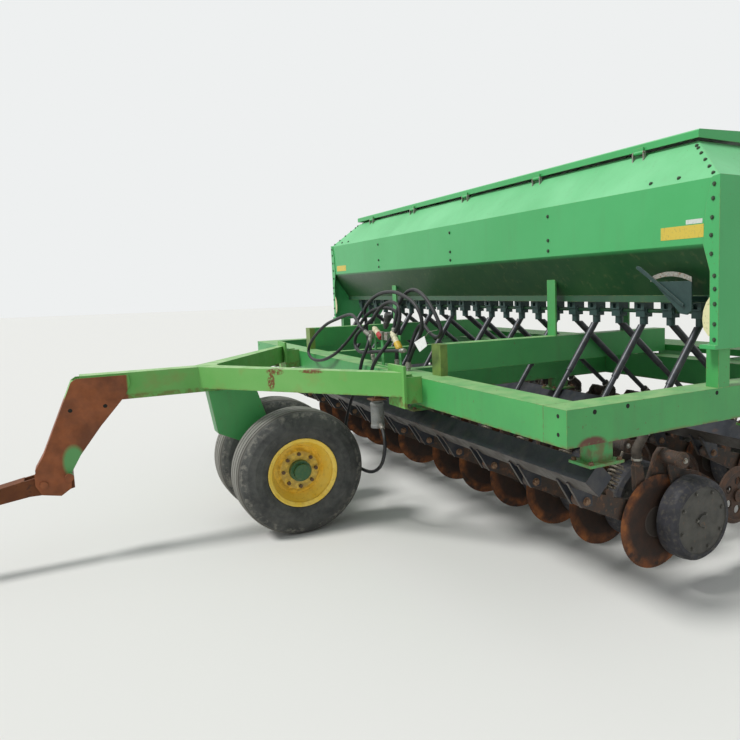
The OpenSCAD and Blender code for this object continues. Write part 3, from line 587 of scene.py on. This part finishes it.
finishes = {
    "main_frame": main_frame_enamel(),
    "upper_beams": upper_beam_enamel(),
    "tongue": tongue_enamel(),
    "hitch_link": primer(),
    "wheel_carriage": frame_green,
    "front_rims": wheel_enamel("wheel_enamel_front", FRONT_AXLE, FRONT_WHEEL_X + DISC_ASIDE),
    "front_tyres": tyre_rubber("tyre_rubber_front", FRONT_AXLE, FRONT_WHEEL_X),
    "rear_wheel_arms": frame_green,
    "left_rim": wheel_enamel("wheel_enamel_left", REAR_AXLE, REAR_AXLE.x + DISC_ASIDE),
    "left_tyre": tyre_rubber("tyre_rubber_left", REAR_AXLE, REAR_AXLE.x),
    "right_rim": wheel_enamel("wheel_enamel_right", REAR_AXLE, REAR_AXLE.x + DISC_ASIDE),
    "right_tyre": tyre_rubber("tyre_rubber_right", REAR_AXLE, REAR_AXLE.x),
    "seed_box": seed_box_enamel(),
    "box_ends": box_green,
    "box_posts": frame_green,
    "lid": box_green,
    "lid_hinges": zinc,
    "seed_cups": casting_enamel_painted_shade(),
    "feed_drive": drive_enamel_painted_shade(),
    "front_seed_tubes": tube_grey,
    "rear_seed_tubes": tube_grey,
    "front_opener_bar": bar_black,
    "rear_opener_bar": bar_black,
    "front_opener_arms": iron,
    "front_tail_arms": iron,
    "front_springs": springs,
    "front_discs": disc_steel("disc_steel_front", pins["front_disc_spin"]),
    "front_gauge_wheels": gauge_rubber("gauge_rubber_front", pins["front_gauge_spin"]),
    "front_press_wheels": press_black,
    "front_closing_wheels": closing_iron,
    "rear_opener_arms": iron,
    "rear_tail_arms": iron,
    "rear_springs": springs,
    "rear_discs": disc_steel("disc_steel_rear", pins["rear_disc_spin"]),
    "rear_gauge_wheels": gauge_rubber("gauge_rubber_rear", pins["rear_gauge_spin"]),
    "rear_press_wheels": press_black,
    "rear_closing_wheels": closing_iron,
    "walkboard": frame_green,
}
for name, node in nodes.items():
    node.data.materials.clear()
    node.data.materials.append(finishes[name])
    node.data.shade_smooth()
    node.data.set_sharp_from_angle(angle=SHARP)


# SHAPES

def solid(name, bm, material, smooth=False):
    """The working mesh as a finished object of one material."""
    bmesh.ops.recalc_face_normals(bm, faces=bm.faces)
    mesh = bpy.data.meshes.new(name)
    bm.to_mesh(mesh)
    bm.free()
    for face in mesh.polygons:
        face.use_smooth = smooth
    mesh.materials.append(material)
    made = bpy.data.objects.new(name, mesh)
    bpy.context.scene.collection.objects.link(made)
    return made


def piece(name, bm, material, body, slot=None, *replaced, smooth=False):
    """A finished form that rides on a body and may stand for CAD nodes."""
    made = solid(name, bm, material, smooth)
    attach(made, body)
    if replaced:
        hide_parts(*replaced)


def frame_of(direction):
    """A rotation whose Z looks along direction."""
    return Vector(direction).normalized().to_track_quat("Z", "Y").to_matrix().to_4x4()


def skinned(bm, rings):
    """Closes a row of rings of points into one skin, with both ends shut."""
    sides = len(rings[0])
    for low, high in zip(rings, rings[1:]):
        for k in range(sides):
            bm.faces.new((low[k], low[(k + 1) % sides], high[(k + 1) % sides], high[k]))
    bm.faces.new(list(reversed(rings[0])))
    bm.faces.new(rings[-1])


def turned_on(bm, place, direction, outline, sides=6, turn=0.0):
    """Adds a turned or hexagonal form: outline is [radius, height] pairs from the base to the tip."""
    to_place = Matrix.Translation(place) @ frame_of(direction)
    rings = []
    for radius, height in outline:
        rings.append([bm.verts.new(to_place @ Vector((
            radius * math.cos(turn + 2 * math.pi * k / sides),
            radius * math.sin(turn + 2 * math.pi * k / sides), height))) for k in range(sides)])
    skinned(bm, rings)


def bolt(bm, place, direction, across, tall, turn):
    """A hexagon head on a round washer."""
    turned_on(bm, place, direction, [[across * 0.75, -0.001], [across * 0.75, 0.0025]], sides=14)
    r = across / math.sqrt(3)
    turned_on(bm, place, direction, [[r, 0.002], [r, tall], [r * 0.82, tall + 0.0018]], turn=turn)


def bolts(name, body, slot, material, places, across, tall):
    """Many bolts as one mesh, each turned by up to a sixth: places are (point, direction) pairs."""
    rng = random.Random(name)
    bm = bmesh.new()
    for place, direction in places:
        bolt(bm, place, direction, across, tall, rng.uniform(0, 1.04))
    piece(name, bm, material, body, slot)


def swept(bm, points, radii, sides=10):
    """A round tube along points, closed at both ends: radii is one radius, or one for each point."""
    points = [Vector(p) for p in points]
    if isinstance(radii, float):
        radii = [radii] * len(points)
    rings = []
    side = None
    for i, point in enumerate(points):
        ahead = (points[min(i + 1, len(points) - 1)] - points[max(i - 1, 0)]).normalized()
        if side is None:
            side = ahead.orthogonal().normalized()
        side = (side - ahead * side.dot(ahead)).normalized()
        other = ahead.cross(side)
        rings.append([bm.verts.new(point + (side * math.cos(a) + other * math.sin(a)) * radii[i])
                      for a in (2 * math.pi * k / sides for k in range(sides))])
    skinned(bm, rings)


def slab_on(bm, low, high, soft=0.002):
    """Adds a bar or plate between two corners, with its edges broken."""
    low, high = Vector(low), Vector(high)
    made = bmesh.ops.create_cube(bm, size=1.0)
    bmesh.ops.scale(bm, vec=high - low, verts=made["verts"])
    bmesh.ops.translate(bm, vec=(low + high) / 2, verts=made["verts"])
    edges = list({e for v in made["verts"] for e in v.link_edges})
    bmesh.ops.bevel(bm, geom=edges, offset=soft, segments=2, affect="EDGES", profile=0.5)


def closed_plate(bm, front, back):
    """Adds a plate between two rings of points that match."""
    front, back = [bm.verts.new(p) for p in front], [bm.verts.new(p) for p in back]
    bm.faces.new(front)
    bm.faces.new(list(reversed(back)))
    for k in range(len(front)):
        after = (k + 1) % len(front)
        bm.faces.new((front[k], back[k], back[after], front[after]))


def plate_on(bm, outline, y0, y1):
    """Adds a flat plate cut to an outline of (x, z) pairs, between two places along Y."""
    closed_plate(bm, *([at(x, y, z) for x, z in outline] for y in (y0, y1)))


def ring_of(centre, radius, count, start=0.0):
    """Places around an axle that runs along X."""
    return [Vector(centre) + Vector((0, math.cos(a), math.sin(a))) * radius
            for a in (start + 2 * math.pi * k / count for k in range(count))]


# OPENER WHEELS AND SPRINGS

def outboard(row):
    """The way out from the machine's middle at a row."""
    return X_AXIS if row > 0 else -X_AXIS


def on_opener(row, axle, out, back=0.0, up=0.0):
    """A place on an opener: out from its row's middle, back from an axle and up."""
    return Vector((row + out * outboard(row).x, axle.y + back, axle.z + up))


# Out from the row's middle, back from the opener's pivot and up.
SPRING_FOOT = (-0.032, 0.170, 0.010)
DEPTH_BOSS = (0.108, 0.520, 0.118)
HOSE_BOOT = (-0.0255, 0.345, 0.118)
PIVOT_HEADS = ((-0.066, -1), (0.022, 1))            # out from the row's middle, and which way each looks
GAUGE_FACE = 0.132                   # from the row's middle to the outside of the gauge wheel's plate
PLATE_CIRCLE = 0.142
HUB_CIRCLE = 0.034


def gauge_wheel_bolts(name, body, rows, axle):
    """Eight bolts around each face plate and three around its hub cap."""
    places = []
    for row in rows:
        centre = on_opener(row, axle, GAUGE_FACE)
        for circle, count, start in ((PLATE_CIRCLE, 8, 0.3), (HUB_CIRCLE, 3, 0.9)):
            places += [(p, outboard(row)) for p in ring_of(centre, circle, count, start)]
    bolts(name, body, "wheel_rubber", dusty_bolt, places, across=0.014, tall=0.006)


COIL_TURNS = 5.25
COIL_STEPS = int(COIL_TURNS * 16)
COIL_RADIUS = 0.0290
WIRE_RADIUS = 0.0062
COIL_FOOT = 0.018                    # how far up the rod the coil starts
COIL_LONG = 0.098
ROD_LEAN = math.radians(30)


def row_springs(name, body, rows, pivot, node):
    """A coil of round wire on each down-pressure rod, with its seats, rod and nut."""
    lean = Vector((0, math.sin(ROD_LEAN), math.cos(ROD_LEAN)))
    other = lean.cross(X_AXIS)
    bm = bmesh.new()
    for row in rows:
        foot = on_opener(row, pivot, *SPRING_FOOT)
        coil = []
        for i in range(COIL_STEPS + 1):
            turn = 2 * math.pi * COIL_TURNS * i / COIL_STEPS
            coil.append(foot + lean * (COIL_FOOT + COIL_LONG * i / COIL_STEPS)
                        + (X_AXIS * math.cos(turn) + other * math.sin(turn)) * COIL_RADIUS)
        swept(bm, coil, WIRE_RADIUS, sides=8)
        for radius, low, high, sides in (
                (0.0068, 0.0, 0.189, 16),           # the rod
                (0.030, 0.1185, 0.1255, 28),        # the upper seat
                (0.027, 0.0125, 0.0175, 28),        # the lower seat
                (0.0135, 0.1265, 0.1385, 6)):       # the nut
            turned_on(bm, foot, lean, [[radius, low], [radius, high]], sides=sides)
    piece(name, bm, springs, body, "spring_steel", node)


gauge_wheel_bolts("front_gauge_bolts", "front_gauge_rank", FRONT_ROWS, pins["front_gauge_spin"])
gauge_wheel_bolts("rear_gauge_bolts", "rear_gauge_rank", REAR_ROWS, pins["rear_gauge_spin"])
row_springs("front_spring_coils", "front_openers", FRONT_ROWS, pins["front_opener_lift"], "front_springs")
row_springs("rear_spring_coils", "rear_openers", REAR_ROWS, pins["rear_opener_lift"], "rear_springs")

BAR_SIDE = 0.102
FOOT_PLATE = 0.012
HANGER_X = (2.360, 0.738)
FOOT_CORNERS = ((-0.055, -0.075), (0.055, -0.075), (-0.055, 0.075), (0.055, 0.075))


def depth_bosses(name, body, rows, pivot):
    """The ribbed boss of the depth setting above each gauge wheel, with a bright bolt in its end."""
    bm = bmesh.new()
    bright = []
    for row in rows:
        end, way = on_opener(row, pivot, *DEPTH_BOSS), outboard(row)
        turned_on(bm, end - way * 0.030, way, [
            [0.0375, 0], [0.0385, 0.002], [0.0385, 0.007], [0.0358, 0.009], [0.0358, 0.013], [0.0385, 0.015],
            [0.0385, 0.022], [0.0358, 0.024], [0.0358, 0.028], [0.031, 0.034], [0.018, 0.0345]], sides=28)
        bright.append((end + way * 0.004, way))
    piece(name, bm, iron, body, "rusty_casting")
    bolts(name + "_bolts", body, None, zinc, bright, across=0.018, tall=0.009)


def arm_pivot_bolts(name, rows, pivot):
    """Rusty heads on both sides of each opener's pivot in the bar's lugs."""
    places = [(on_opener(row, pivot, out), outboard(row) * way) for row in rows for out, way in PIVOT_HEADS]
    bolts(name, "frame", None, brown_bolt, places, across=0.026, tall=0.012)


def hanger_bolts():
    """Four rusty bolts through each hanger's foot plate, round the opener bars."""
    places = []
    for rise in (pins["front_opener_lift"], pins["rear_opener_lift"]):
        y, z = rise.y - 0.068, rise.z + 0.146
        top = z + BAR_SIDE * 0.7072 + FOOT_PLATE
        for sign in (1, -1):
            for x in HANGER_X:
                for dx, dy in FOOT_CORNERS:
                    places.append((Vector((sign * x + dx, y + dy, top)), Z_AXIS))
    bolts("hanger_bolts", "frame", None, brown_bolt, places, across=0.018, tall=0.010)


depth_bosses("front_depth_bosses", "front_openers", FRONT_ROWS, pins["front_opener_lift"])
depth_bosses("rear_depth_bosses", "rear_openers", REAR_ROWS, pins["rear_opener_lift"])
arm_pivot_bolts("front_pivot_bolts", FRONT_ROWS, pins["front_opener_lift"])
arm_pivot_bolts("rear_pivot_bolts", REAR_ROWS, pins["rear_opener_lift"])
hanger_bolts()

# HYDRAULIC HOSES, THEIR RACK AND THE LIFT CYLINDER

def eased(points, steps=5):
    """A smooth line through the points that a hose was seen to pass."""
    points = [Vector(p) for p in points]
    line = []
    for i in range(len(points) - 1):
        a, b = points[max(i - 1, 0)], points[i]
        c, d = points[i + 1], points[min(i + 2, len(points) - 1)]
        for k in range(steps):
            t = k / steps
            line.append(0.5 * (2 * b + (c - a) * t + (2 * a - 5 * b + 4 * c - d) * t * t
                               + (3 * b - a - 3 * c + d) * t * t * t))
    return line + [points[-1]]


def hydraulic_hoses():
    """The five hoses, about 22 mm across, from the rack's couplers over the tongue and back to the frame."""
    routes = [
        [(.395, -.985, 1.215), (.345, -1.015, 1.262), (.262, -1.012, 1.312), (.170, -1.005, 1.335),
         (.060, -1.0, 1.330), (-.090, -1.005, 1.305), (-.295, -1.020, 1.260), (-.470, -1.040, 1.185),
         (-.625, -1.050, 1.095), (-.630, -1.060, 1.025), (-.480, -1.070, .995), (-.305, -1.060, 1.005),
         (-.120, -1.040, 1.055), (-.015, -1.010, 1.115), (.070, -.980, 1.185), (.175, -.960, 1.260),
         (.275, -.940, 1.335), (.395, -.920, 1.375), (.525, -.900, 1.380), (.620, -.890, 1.355),
         (.655, -.890, 1.285), (.655, -.900, 1.210), (.675, -.920, 1.130), (.690, -.930, 1.035)],
        [(.26, -.90, 1.02), (.235, -.915, 1.12), (.222, -.925, 1.22), (.225, -.930, 1.295),
         (.240, -.940, 1.365), (.360, -.950, 1.425), (.540, -.955, 1.470), (.735, -.955, 1.480),
         (.875, -.950, 1.455), (.970, -.940, 1.420), (1.030, -.930, 1.360), (1.030, -.920, 1.295),
         (.985, -.920, 1.215), (.900, -.920, 1.140), (.815, -.93, 1.02)],
        [(.903, -.99, 1.146), (.733, -.99, 1.135), (.501, -.99, 1.113), (.282, -.99, 1.095),
         (.195, -.99, 1.112), (.164, -.99, 1.15), (.208, -.99, 1.205), (.357, -.98, 1.276),
         (.415, -.95, 1.325), (.535, -.95, 1.390), (.675, -.95, 1.420), (.785, -.95, 1.400),
         (.805, -.95, 1.335), (.765, -.96, 1.255), (.685, -.98, 1.175), (.650, -1.02, 1.110),
         (.600, -1.04, 1.050), (.555, -1.045, .985), (.530, -1.045, .920), (.520, -1.02, .850),
         (.520, -1.0, .812)],
        [(.740, -.962, 1.240), (.742, -.955, 1.30), (.760, -.930, 1.405), (.835, -.920, 1.470),
         (.945, -.920, 1.490), (1.055, -.920, 1.460), (1.130, -.910, 1.400), (1.185, -.900, 1.325),
         (1.200, -.890, 1.265), (1.140, -.880, 1.230), (1.040, -.870, 1.240), (.940, -.870, 1.290),
         (.880, -.880, 1.260), (.850, -.900, 1.185), (.845, -.920, 1.120), (.85, -.93, 1.02)],
        [(.41, -.985, 1.19), (.422, -1.01, 1.135), (.400, -1.035, 1.06), (.330, -1.035, .960),
         (.235, -1.035, .850), (.120, -1.035, .720), (.035, -1.035, .590), (.008, -1.035, .480),
         (.040, -1.035, .395), (.140, -1.035, .345), (.279, -1.035, .330), (.47, -1.035, .350),
         (.620, -1.035, .420), (.680, -1.03, .520), (.660, -1.02, .610), (.575, -1.0, .660)]]
    bm = bmesh.new()
    for route in routes:
        swept(bm, eased([at(*p) for p in route]), 0.0108, sides=10)
    piece("hydraulic_hoses", bm, hose_black, "frame", smooth=True)


def crimped_ends():
    """The crimped steel ends where the hoses screw into blocks and pipes."""
    ends = [((.408, -.975, 1.205), (-.6, -.45, .55)), ((.690, -.930, 1.020), (-.1, .05, 1)),
            ((.26, -.90, 1.020), (-.15, -.1, 1)), ((.815, -.93, 1.020), (.6, .1, 1)),
            ((.740, -.962, 1.215), (0, 0, 1)), ((.85, -.93, 1.020), (-.05, .1, 1)),
            ((.41, -.975, 1.205), (.1, -.4, -1)), ((.565, -1.0, .664), (1, -.2, -.3)),
            ((.940, -.99, 1.150), (-1, 0, -.1)), ((.520, -1.0, .808), (0, -.2, 1))]
    bm = bmesh.new()
    for place, direction in ends:
        turned_on(bm, at(*place), direction, [[0.0125, -0.004], [0.0125, 0.012]], sides=6)
        turned_on(bm, at(*place), direction, [
            [0.0105, 0.011], [0.0142, 0.015], [0.0142, 0.052], [0.0125, 0.055]], sides=14)
    piece("hose_ends", bm, zinc, "frame")


def hose_rack():
    """The rack on the front beam: a crossbar on a flat post and two short ones, with four coupler blocks."""
    bm = bmesh.new()
    slab_on(bm, at(.375, -.951, 1.196), at(.800, -.945, 1.226))
    slab_on(bm, at(.490, -.9445, 1.0202), at(.530, -.938, 1.1955))
    for x in (.385, .760):
        slab_on(bm, at(x, -.9445, 1.0202), at(x + .026, -.938, 1.208))
    slab_on(bm, at(.370, -.960, 1.0200), at(.800, -.915, 1.028))
    piece("hose_rack", bm, frame_green, "frame", "frame_paint")
    bm = bmesh.new()
    for x in (.395, .560, .640, .740):
        slab_on(bm, at(x - .022, -.975, 1.190), at(x + .022, -.9512, 1.240), 0.003)
    piece("coupler_blocks", bm, zinc, "frame")


def couplers():
    """Quick couplers in the rack: sprung sleeves with pale bodies and red, yellow and dark caps."""
    caps = [((.454, -.97, 1.259), (.574, -.97, 1.203), coupler_pale, coupler_red),
            ((.729, -.97, 1.246), (.832, -.97, 1.146), coupler_pale, coupler_yellow),
            ((.600, -.955, 1.262), (.645, -.955, 1.350), coupler_dark, coupler_dark)]
    for k, (start, end, body, tip) in enumerate(caps, 1):
        a, b = at(*start), at(*end)
        way, long = (b - a).normalized(), (b - a).length
        bm = bmesh.new()
        turned_on(bm, a, way, [[0.012, 0], [0.012, 0.012], [0.018, 0.016], [0.018, 0.044], [0.0155, 0.047],
                               [0.0155, 0.056], [0.018, 0.059], [0.018, long * 0.62]], sides=20)
        piece("coupler_%d" % k, bm, body, "frame")
        bm = bmesh.new()
        turned_on(bm, a, way, [[0.0195, long * 0.62], [0.0205, long * 0.66], [0.0205, long * 0.94],
                               [0.017, long]], sides=20)
        piece("coupler_cap_%d" % k, bm, tip, "frame")


def blank_tag():
    """A white card on a wire, blank on both sides and a little curled."""
    corners = [(1.026, 1.200), (1.163, 1.242), (1.183, 1.191), (1.099, 1.152)]
    curl = 0.004
    bm = bmesh.new()
    closed_plate(bm, *([at(x, y - curl * (i % 2), z) for i, (x, z) in enumerate(corners)]
                       for y in (-.970, -.9686)))
    piece("blank_tag", bm, tag_white, "frame")
    bm = bmesh.new()
    wire = [at(1.165, -.969, 1.238), at(1.175, -.95, 1.262), at(1.190, -.905, 1.272)]
    swept(bm, eased(wire), 0.0012, sides=6)
    piece("tag_wire", bm, zinc, "frame")


def lift_cylinder():
    """The lift cylinder over the front opener bar: a painted barrel, a gland and a rusty cap."""
    bm = bmesh.new()
    foot = at(.520, -1.000, .640)
    turned_on(bm, foot, Z_AXIS, [[0.040, 0], [0.0435, 0.004], [0.0435, 0.020], [0.041, 0.024], [0.041, 0.140],
                                 [0.0435, 0.144], [0.0435, 0.158], [0.036, 0.164], [0.036, 0.176]], sides=40)
    slab_on(bm, at(.474, -1.046, .8155), at(.566, -.954, .8255))
    slab_on(bm, at(.500, -1.020, .8255), at(.540, -.980, .8675))
    piece("lift_cylinder", bm, cylinder_grey, "frame")


hydraulic_hoses()
crimped_ends()
hose_rack()
couplers()
blank_tag()
lift_cylinder()

# PANEL BOLTS, TAPES AND HOLES

PANEL_Y = -0.2                       # the front of the box, from the cup line
SLOPE_FOOT = 1.94
SLOPE_TOP = 2.147
SLOPE_WAY = Vector((0, -0.719, 0.695))
PANEL_BOLTS = [(x, z) for x in (0.07, 1.249) for z in (1.888, 1.752, 1.693)]
PANEL_BOLTS += [(2.042, 1.965), (2.217, 1.966)]


def panel_y(z):
    """How far forward the front of the box is at a height, from the cup line."""
    return PANEL_Y if z < SLOPE_FOOT else PANEL_Y - (z - SLOPE_FOOT) * PANEL_Y / (SLOPE_TOP - SLOPE_FOOT)


def panel_bolts():
    """Painted heads that hold the front panel to the ribs behind it, on both halves."""
    places = []
    for x, z in PANEL_BOLTS:
        for side in ((1, -1) if x > 0.5 else (1,)):
            places.append((at(side * x, panel_y(z), z), -Y_AXIS if z < SLOPE_FOOT else SLOPE_WAY))
    bolts("panel_bolts", "frame", None, panel_bolt, places, across=0.014, tall=0.006)


def flat_strip(name, material, x0, x1, z0, z1, y):
    """A tape or strip, blank and 0.6 mm thick, stuck to the front of the box."""
    bm = bmesh.new()
    slab_on(bm, at(x0, y - 0.0006, z0), at(x1, y, z1), 0.0002)
    piece(name, bm, material, "frame")


def frame_holes():
    """Bolt holes through the frame tubes, painted as dark rounds of shade with a broken rim."""
    bm = bmesh.new()
    for sign in (1, -1):
        way = X_AXIS * sign
        holes = [(2.435, y, z, way, 0.010) for y, z in ((-.871, .998), (-.696, 1.002), (-.158, 1.0))]
        holes += [(2.38, -1.011, z, -Y_AXIS, 0.009) for z in (.99, .916)]
        holes += [(0.070, y, z, way, 0.011) for y, z in ((-2.62, .874), (-2.45, .882))]
        for x, y, z, looks, radius in holes:
            # Each hole is a thin dark disc: painted shade, not an opening.
            turned_on(bm, at(sign * x, y, z), looks, [[radius, -0.002], [radius, 0.0004]], sides=20)
    piece("bolt_holes", bm, shadow_hole, "frame")


def end_flange_bolts():
    """Heads down the front flange of both box ends and up the hip seam of the slope."""
    down = [(2.445, 1.910), (2.440, 1.850), (2.436, 1.770), (2.432, 1.695), (2.434, 1.615), (2.452, 1.520),
            (2.455, 1.463), (2.456, 1.398), (2.456, 1.310), (2.456, 1.242)]
    heads = [((x, -.206, z), -Y_AXIS) for x, z in down]
    hip_top, hip_run = (2.156, 0, 2.147), (.29, -.2, -.207)
    heads += [([a + b * t for a, b in zip(hip_top, hip_run)], SLOPE_WAY)
              for t in (.08, .16, .32, .52, .72, .90)]
    places = [(at(side * x, y, z), way) for (x, y, z), way in heads for side in (1, -1)]
    bolts("end_flange_bolts", "frame", None, panel_bolt, places, across=0.013, tall=0.006)


def rate_lever():
    """The seed rate lever, its scale and plate: flat steel in the cups' enamel, dark with painted shade,
    under the near end of the box.
    """
    bm = bmesh.new()
    lever = [(1.945, 1.568), (1.950, 1.580), (1.975, 1.574), (2.254, 1.394), (2.248, 1.384)]
    plate = [(2.050, 1.500), (2.290, 1.500), (2.292, 1.365), (2.265, 1.345), (2.225, 1.350)]
    plate_on(bm, lever, -.180, -.174)
    plate_on(bm, plate, -.168, -.161)
    slab_on(bm, at(2.240, -.1615, 1.400), at(2.280, -.0463, 1.428))
    piece("rate_lever", bm, finishes["seed_cups"], "frame")
    steps = [k / 16 for k in range(17)]
    outer = [(2.036 + .259 * t, 1.522 + .105 * t * (1 - t) - .004 * t) for t in steps]
    inner = [(x, z - 0.022) for x, z in outer]
    bm = bmesh.new()
    plate_on(bm, outer + inner[::-1], -.1725, -.1685)
    piece("rate_scale", bm, zinc, "frame")


def drive_shields():
    """The pale rounded edge of the shield that looks out from behind each box end's flange."""
    for side, name in ((1, "near_drive_shield"), (-1, "far_drive_shield")):
        bm = bmesh.new()
        plate_on(bm, [(side * x, z) for x, z in (
            (2.431, 1.433), (2.408, 1.405), (2.392, 1.368), (2.387, 1.327), (2.394, 1.288), (2.421, 1.257),
            (2.431, 1.257))], -.205, -.199)
        piece(name, bm, shield_cream, "frame")


panel_bolts()
end_flange_bolts()
rate_lever()
drive_shields()
flat_strip("near_tape", tape_yellow, 2.131, 2.385, 1.690, 1.748, -.2003)
flat_strip("far_tape", tape_yellow, -2.338, -2.080, 1.686, 1.740, -.2003)
flat_strip("blank_strip", strip_white, 2.283, 2.378, 1.752, 1.772, -.2003)
frame_holes()

# HOSES OF THE OPENERS

RIB_RADII = (0.0208, 0.0258)         # in the folds of the hose and on them


def dust_hoses(name, rank, rows, tubes, pivot):
    """Corrugated hose from each opener's boot up over the end of its seed tube, clamped at both ends."""
    top_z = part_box(tubes)[1][2]
    hose, clamps_low, clamps_top = bmesh.new(), bmesh.new(), bmesh.new()
    for row in rows:
        boot = on_opener(row, pivot, *HOSE_BOOT)
        joint = boot + Z_AXIS * 0.057
        rise = (at(row + 0.002 * outboard(row).x, 0.006, top_z + 0.016) - joint).normalized()
        line = [boot, boot + Z_AXIS * 0.030, joint, joint + rise * 0.035, joint + rise * 0.095]
        line = eased(line, steps=7)
        swept(hose, line, [RIB_RADII[i % 2] for i in range(len(line))], sides=14)
        turned_on(clamps_low, boot + Z_AXIS * 0.004, Z_AXIS, [[0.0255, 0], [0.0258, 0.010]], sides=24)
        turned_on(clamps_top, joint + rise * 0.083, rise, [[0.0252, 0], [0.0255, 0.009]], sides=24)
    made = solid(name, hose, dust_grey, smooth=True)
    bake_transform(made)
    piece(name + "_low_clamps", clamps_low, zinc, rank)
    piece(name + "_top_clamps", clamps_top, zinc, "frame")


dust_hoses("front_dust_hoses", "front_openers", FRONT_ROWS, "front_seed_tubes", pins["front_opener_lift"])
dust_hoses("rear_dust_hoses", "rear_openers", REAR_ROWS, "rear_seed_tubes", pins["rear_opener_lift"])

# STAGE

def plain_floor():
    """A pale matt floor that keeps the machine's shadow and fades to the background."""
    bm = bmesh.new()
    bmesh.ops.create_grid(bm, x_segments=1, y_segments=1, size=60)
    floor = solid("floor", bm, Recipe("pale_floor_paint").finish("#dcdbd6", 0.9, specular=0.2))


def studio_light():
    """A broad soft sun from the front left and an even pale sky."""
    sun = bpy.data.objects.new("key", bpy.data.lights.new("key", "SUN"))
    sun.data.energy = 2.4
    sun.data.angle = math.radians(14)
    sun.rotation_euler = Vector((-0.10, -0.62, 0.78)).to_track_quat("Z", "Y").to_euler()
    bpy.context.scene.collection.objects.link(sun)
    world = bpy.data.worlds.new("studio")
    bpy.context.scene.world = world
    r = Recipe("studio", world)
    path = r.add("ShaderNodeLightPath")
    straight = r.add("ShaderNodeMath", {
        0: path.outputs["Is Camera Ray"], 1: path.outputs["Is Transmission Ray"]}, operation="MAXIMUM")
    seen = r.add("ShaderNodeMath", {
        0: straight.outputs[0], 1: path.outputs["Is Glossy Ray"]}, operation="MAXIMUM")
    light = r.add("ShaderNodeBackground", {"Color": "#f4f8fc", "Strength": 0.62})
    backdrop = r.add("ShaderNodeBackground", {"Color": "#eef0f0"})
    sky = r.add("ShaderNodeMixShader", {0: seen.outputs[0], 1: light.outputs[0], 2: backdrop.outputs[0]})
    r.add("ShaderNodeOutputWorld", {"Surface": sky.outputs[0]})


plain_floor()
studio_light()
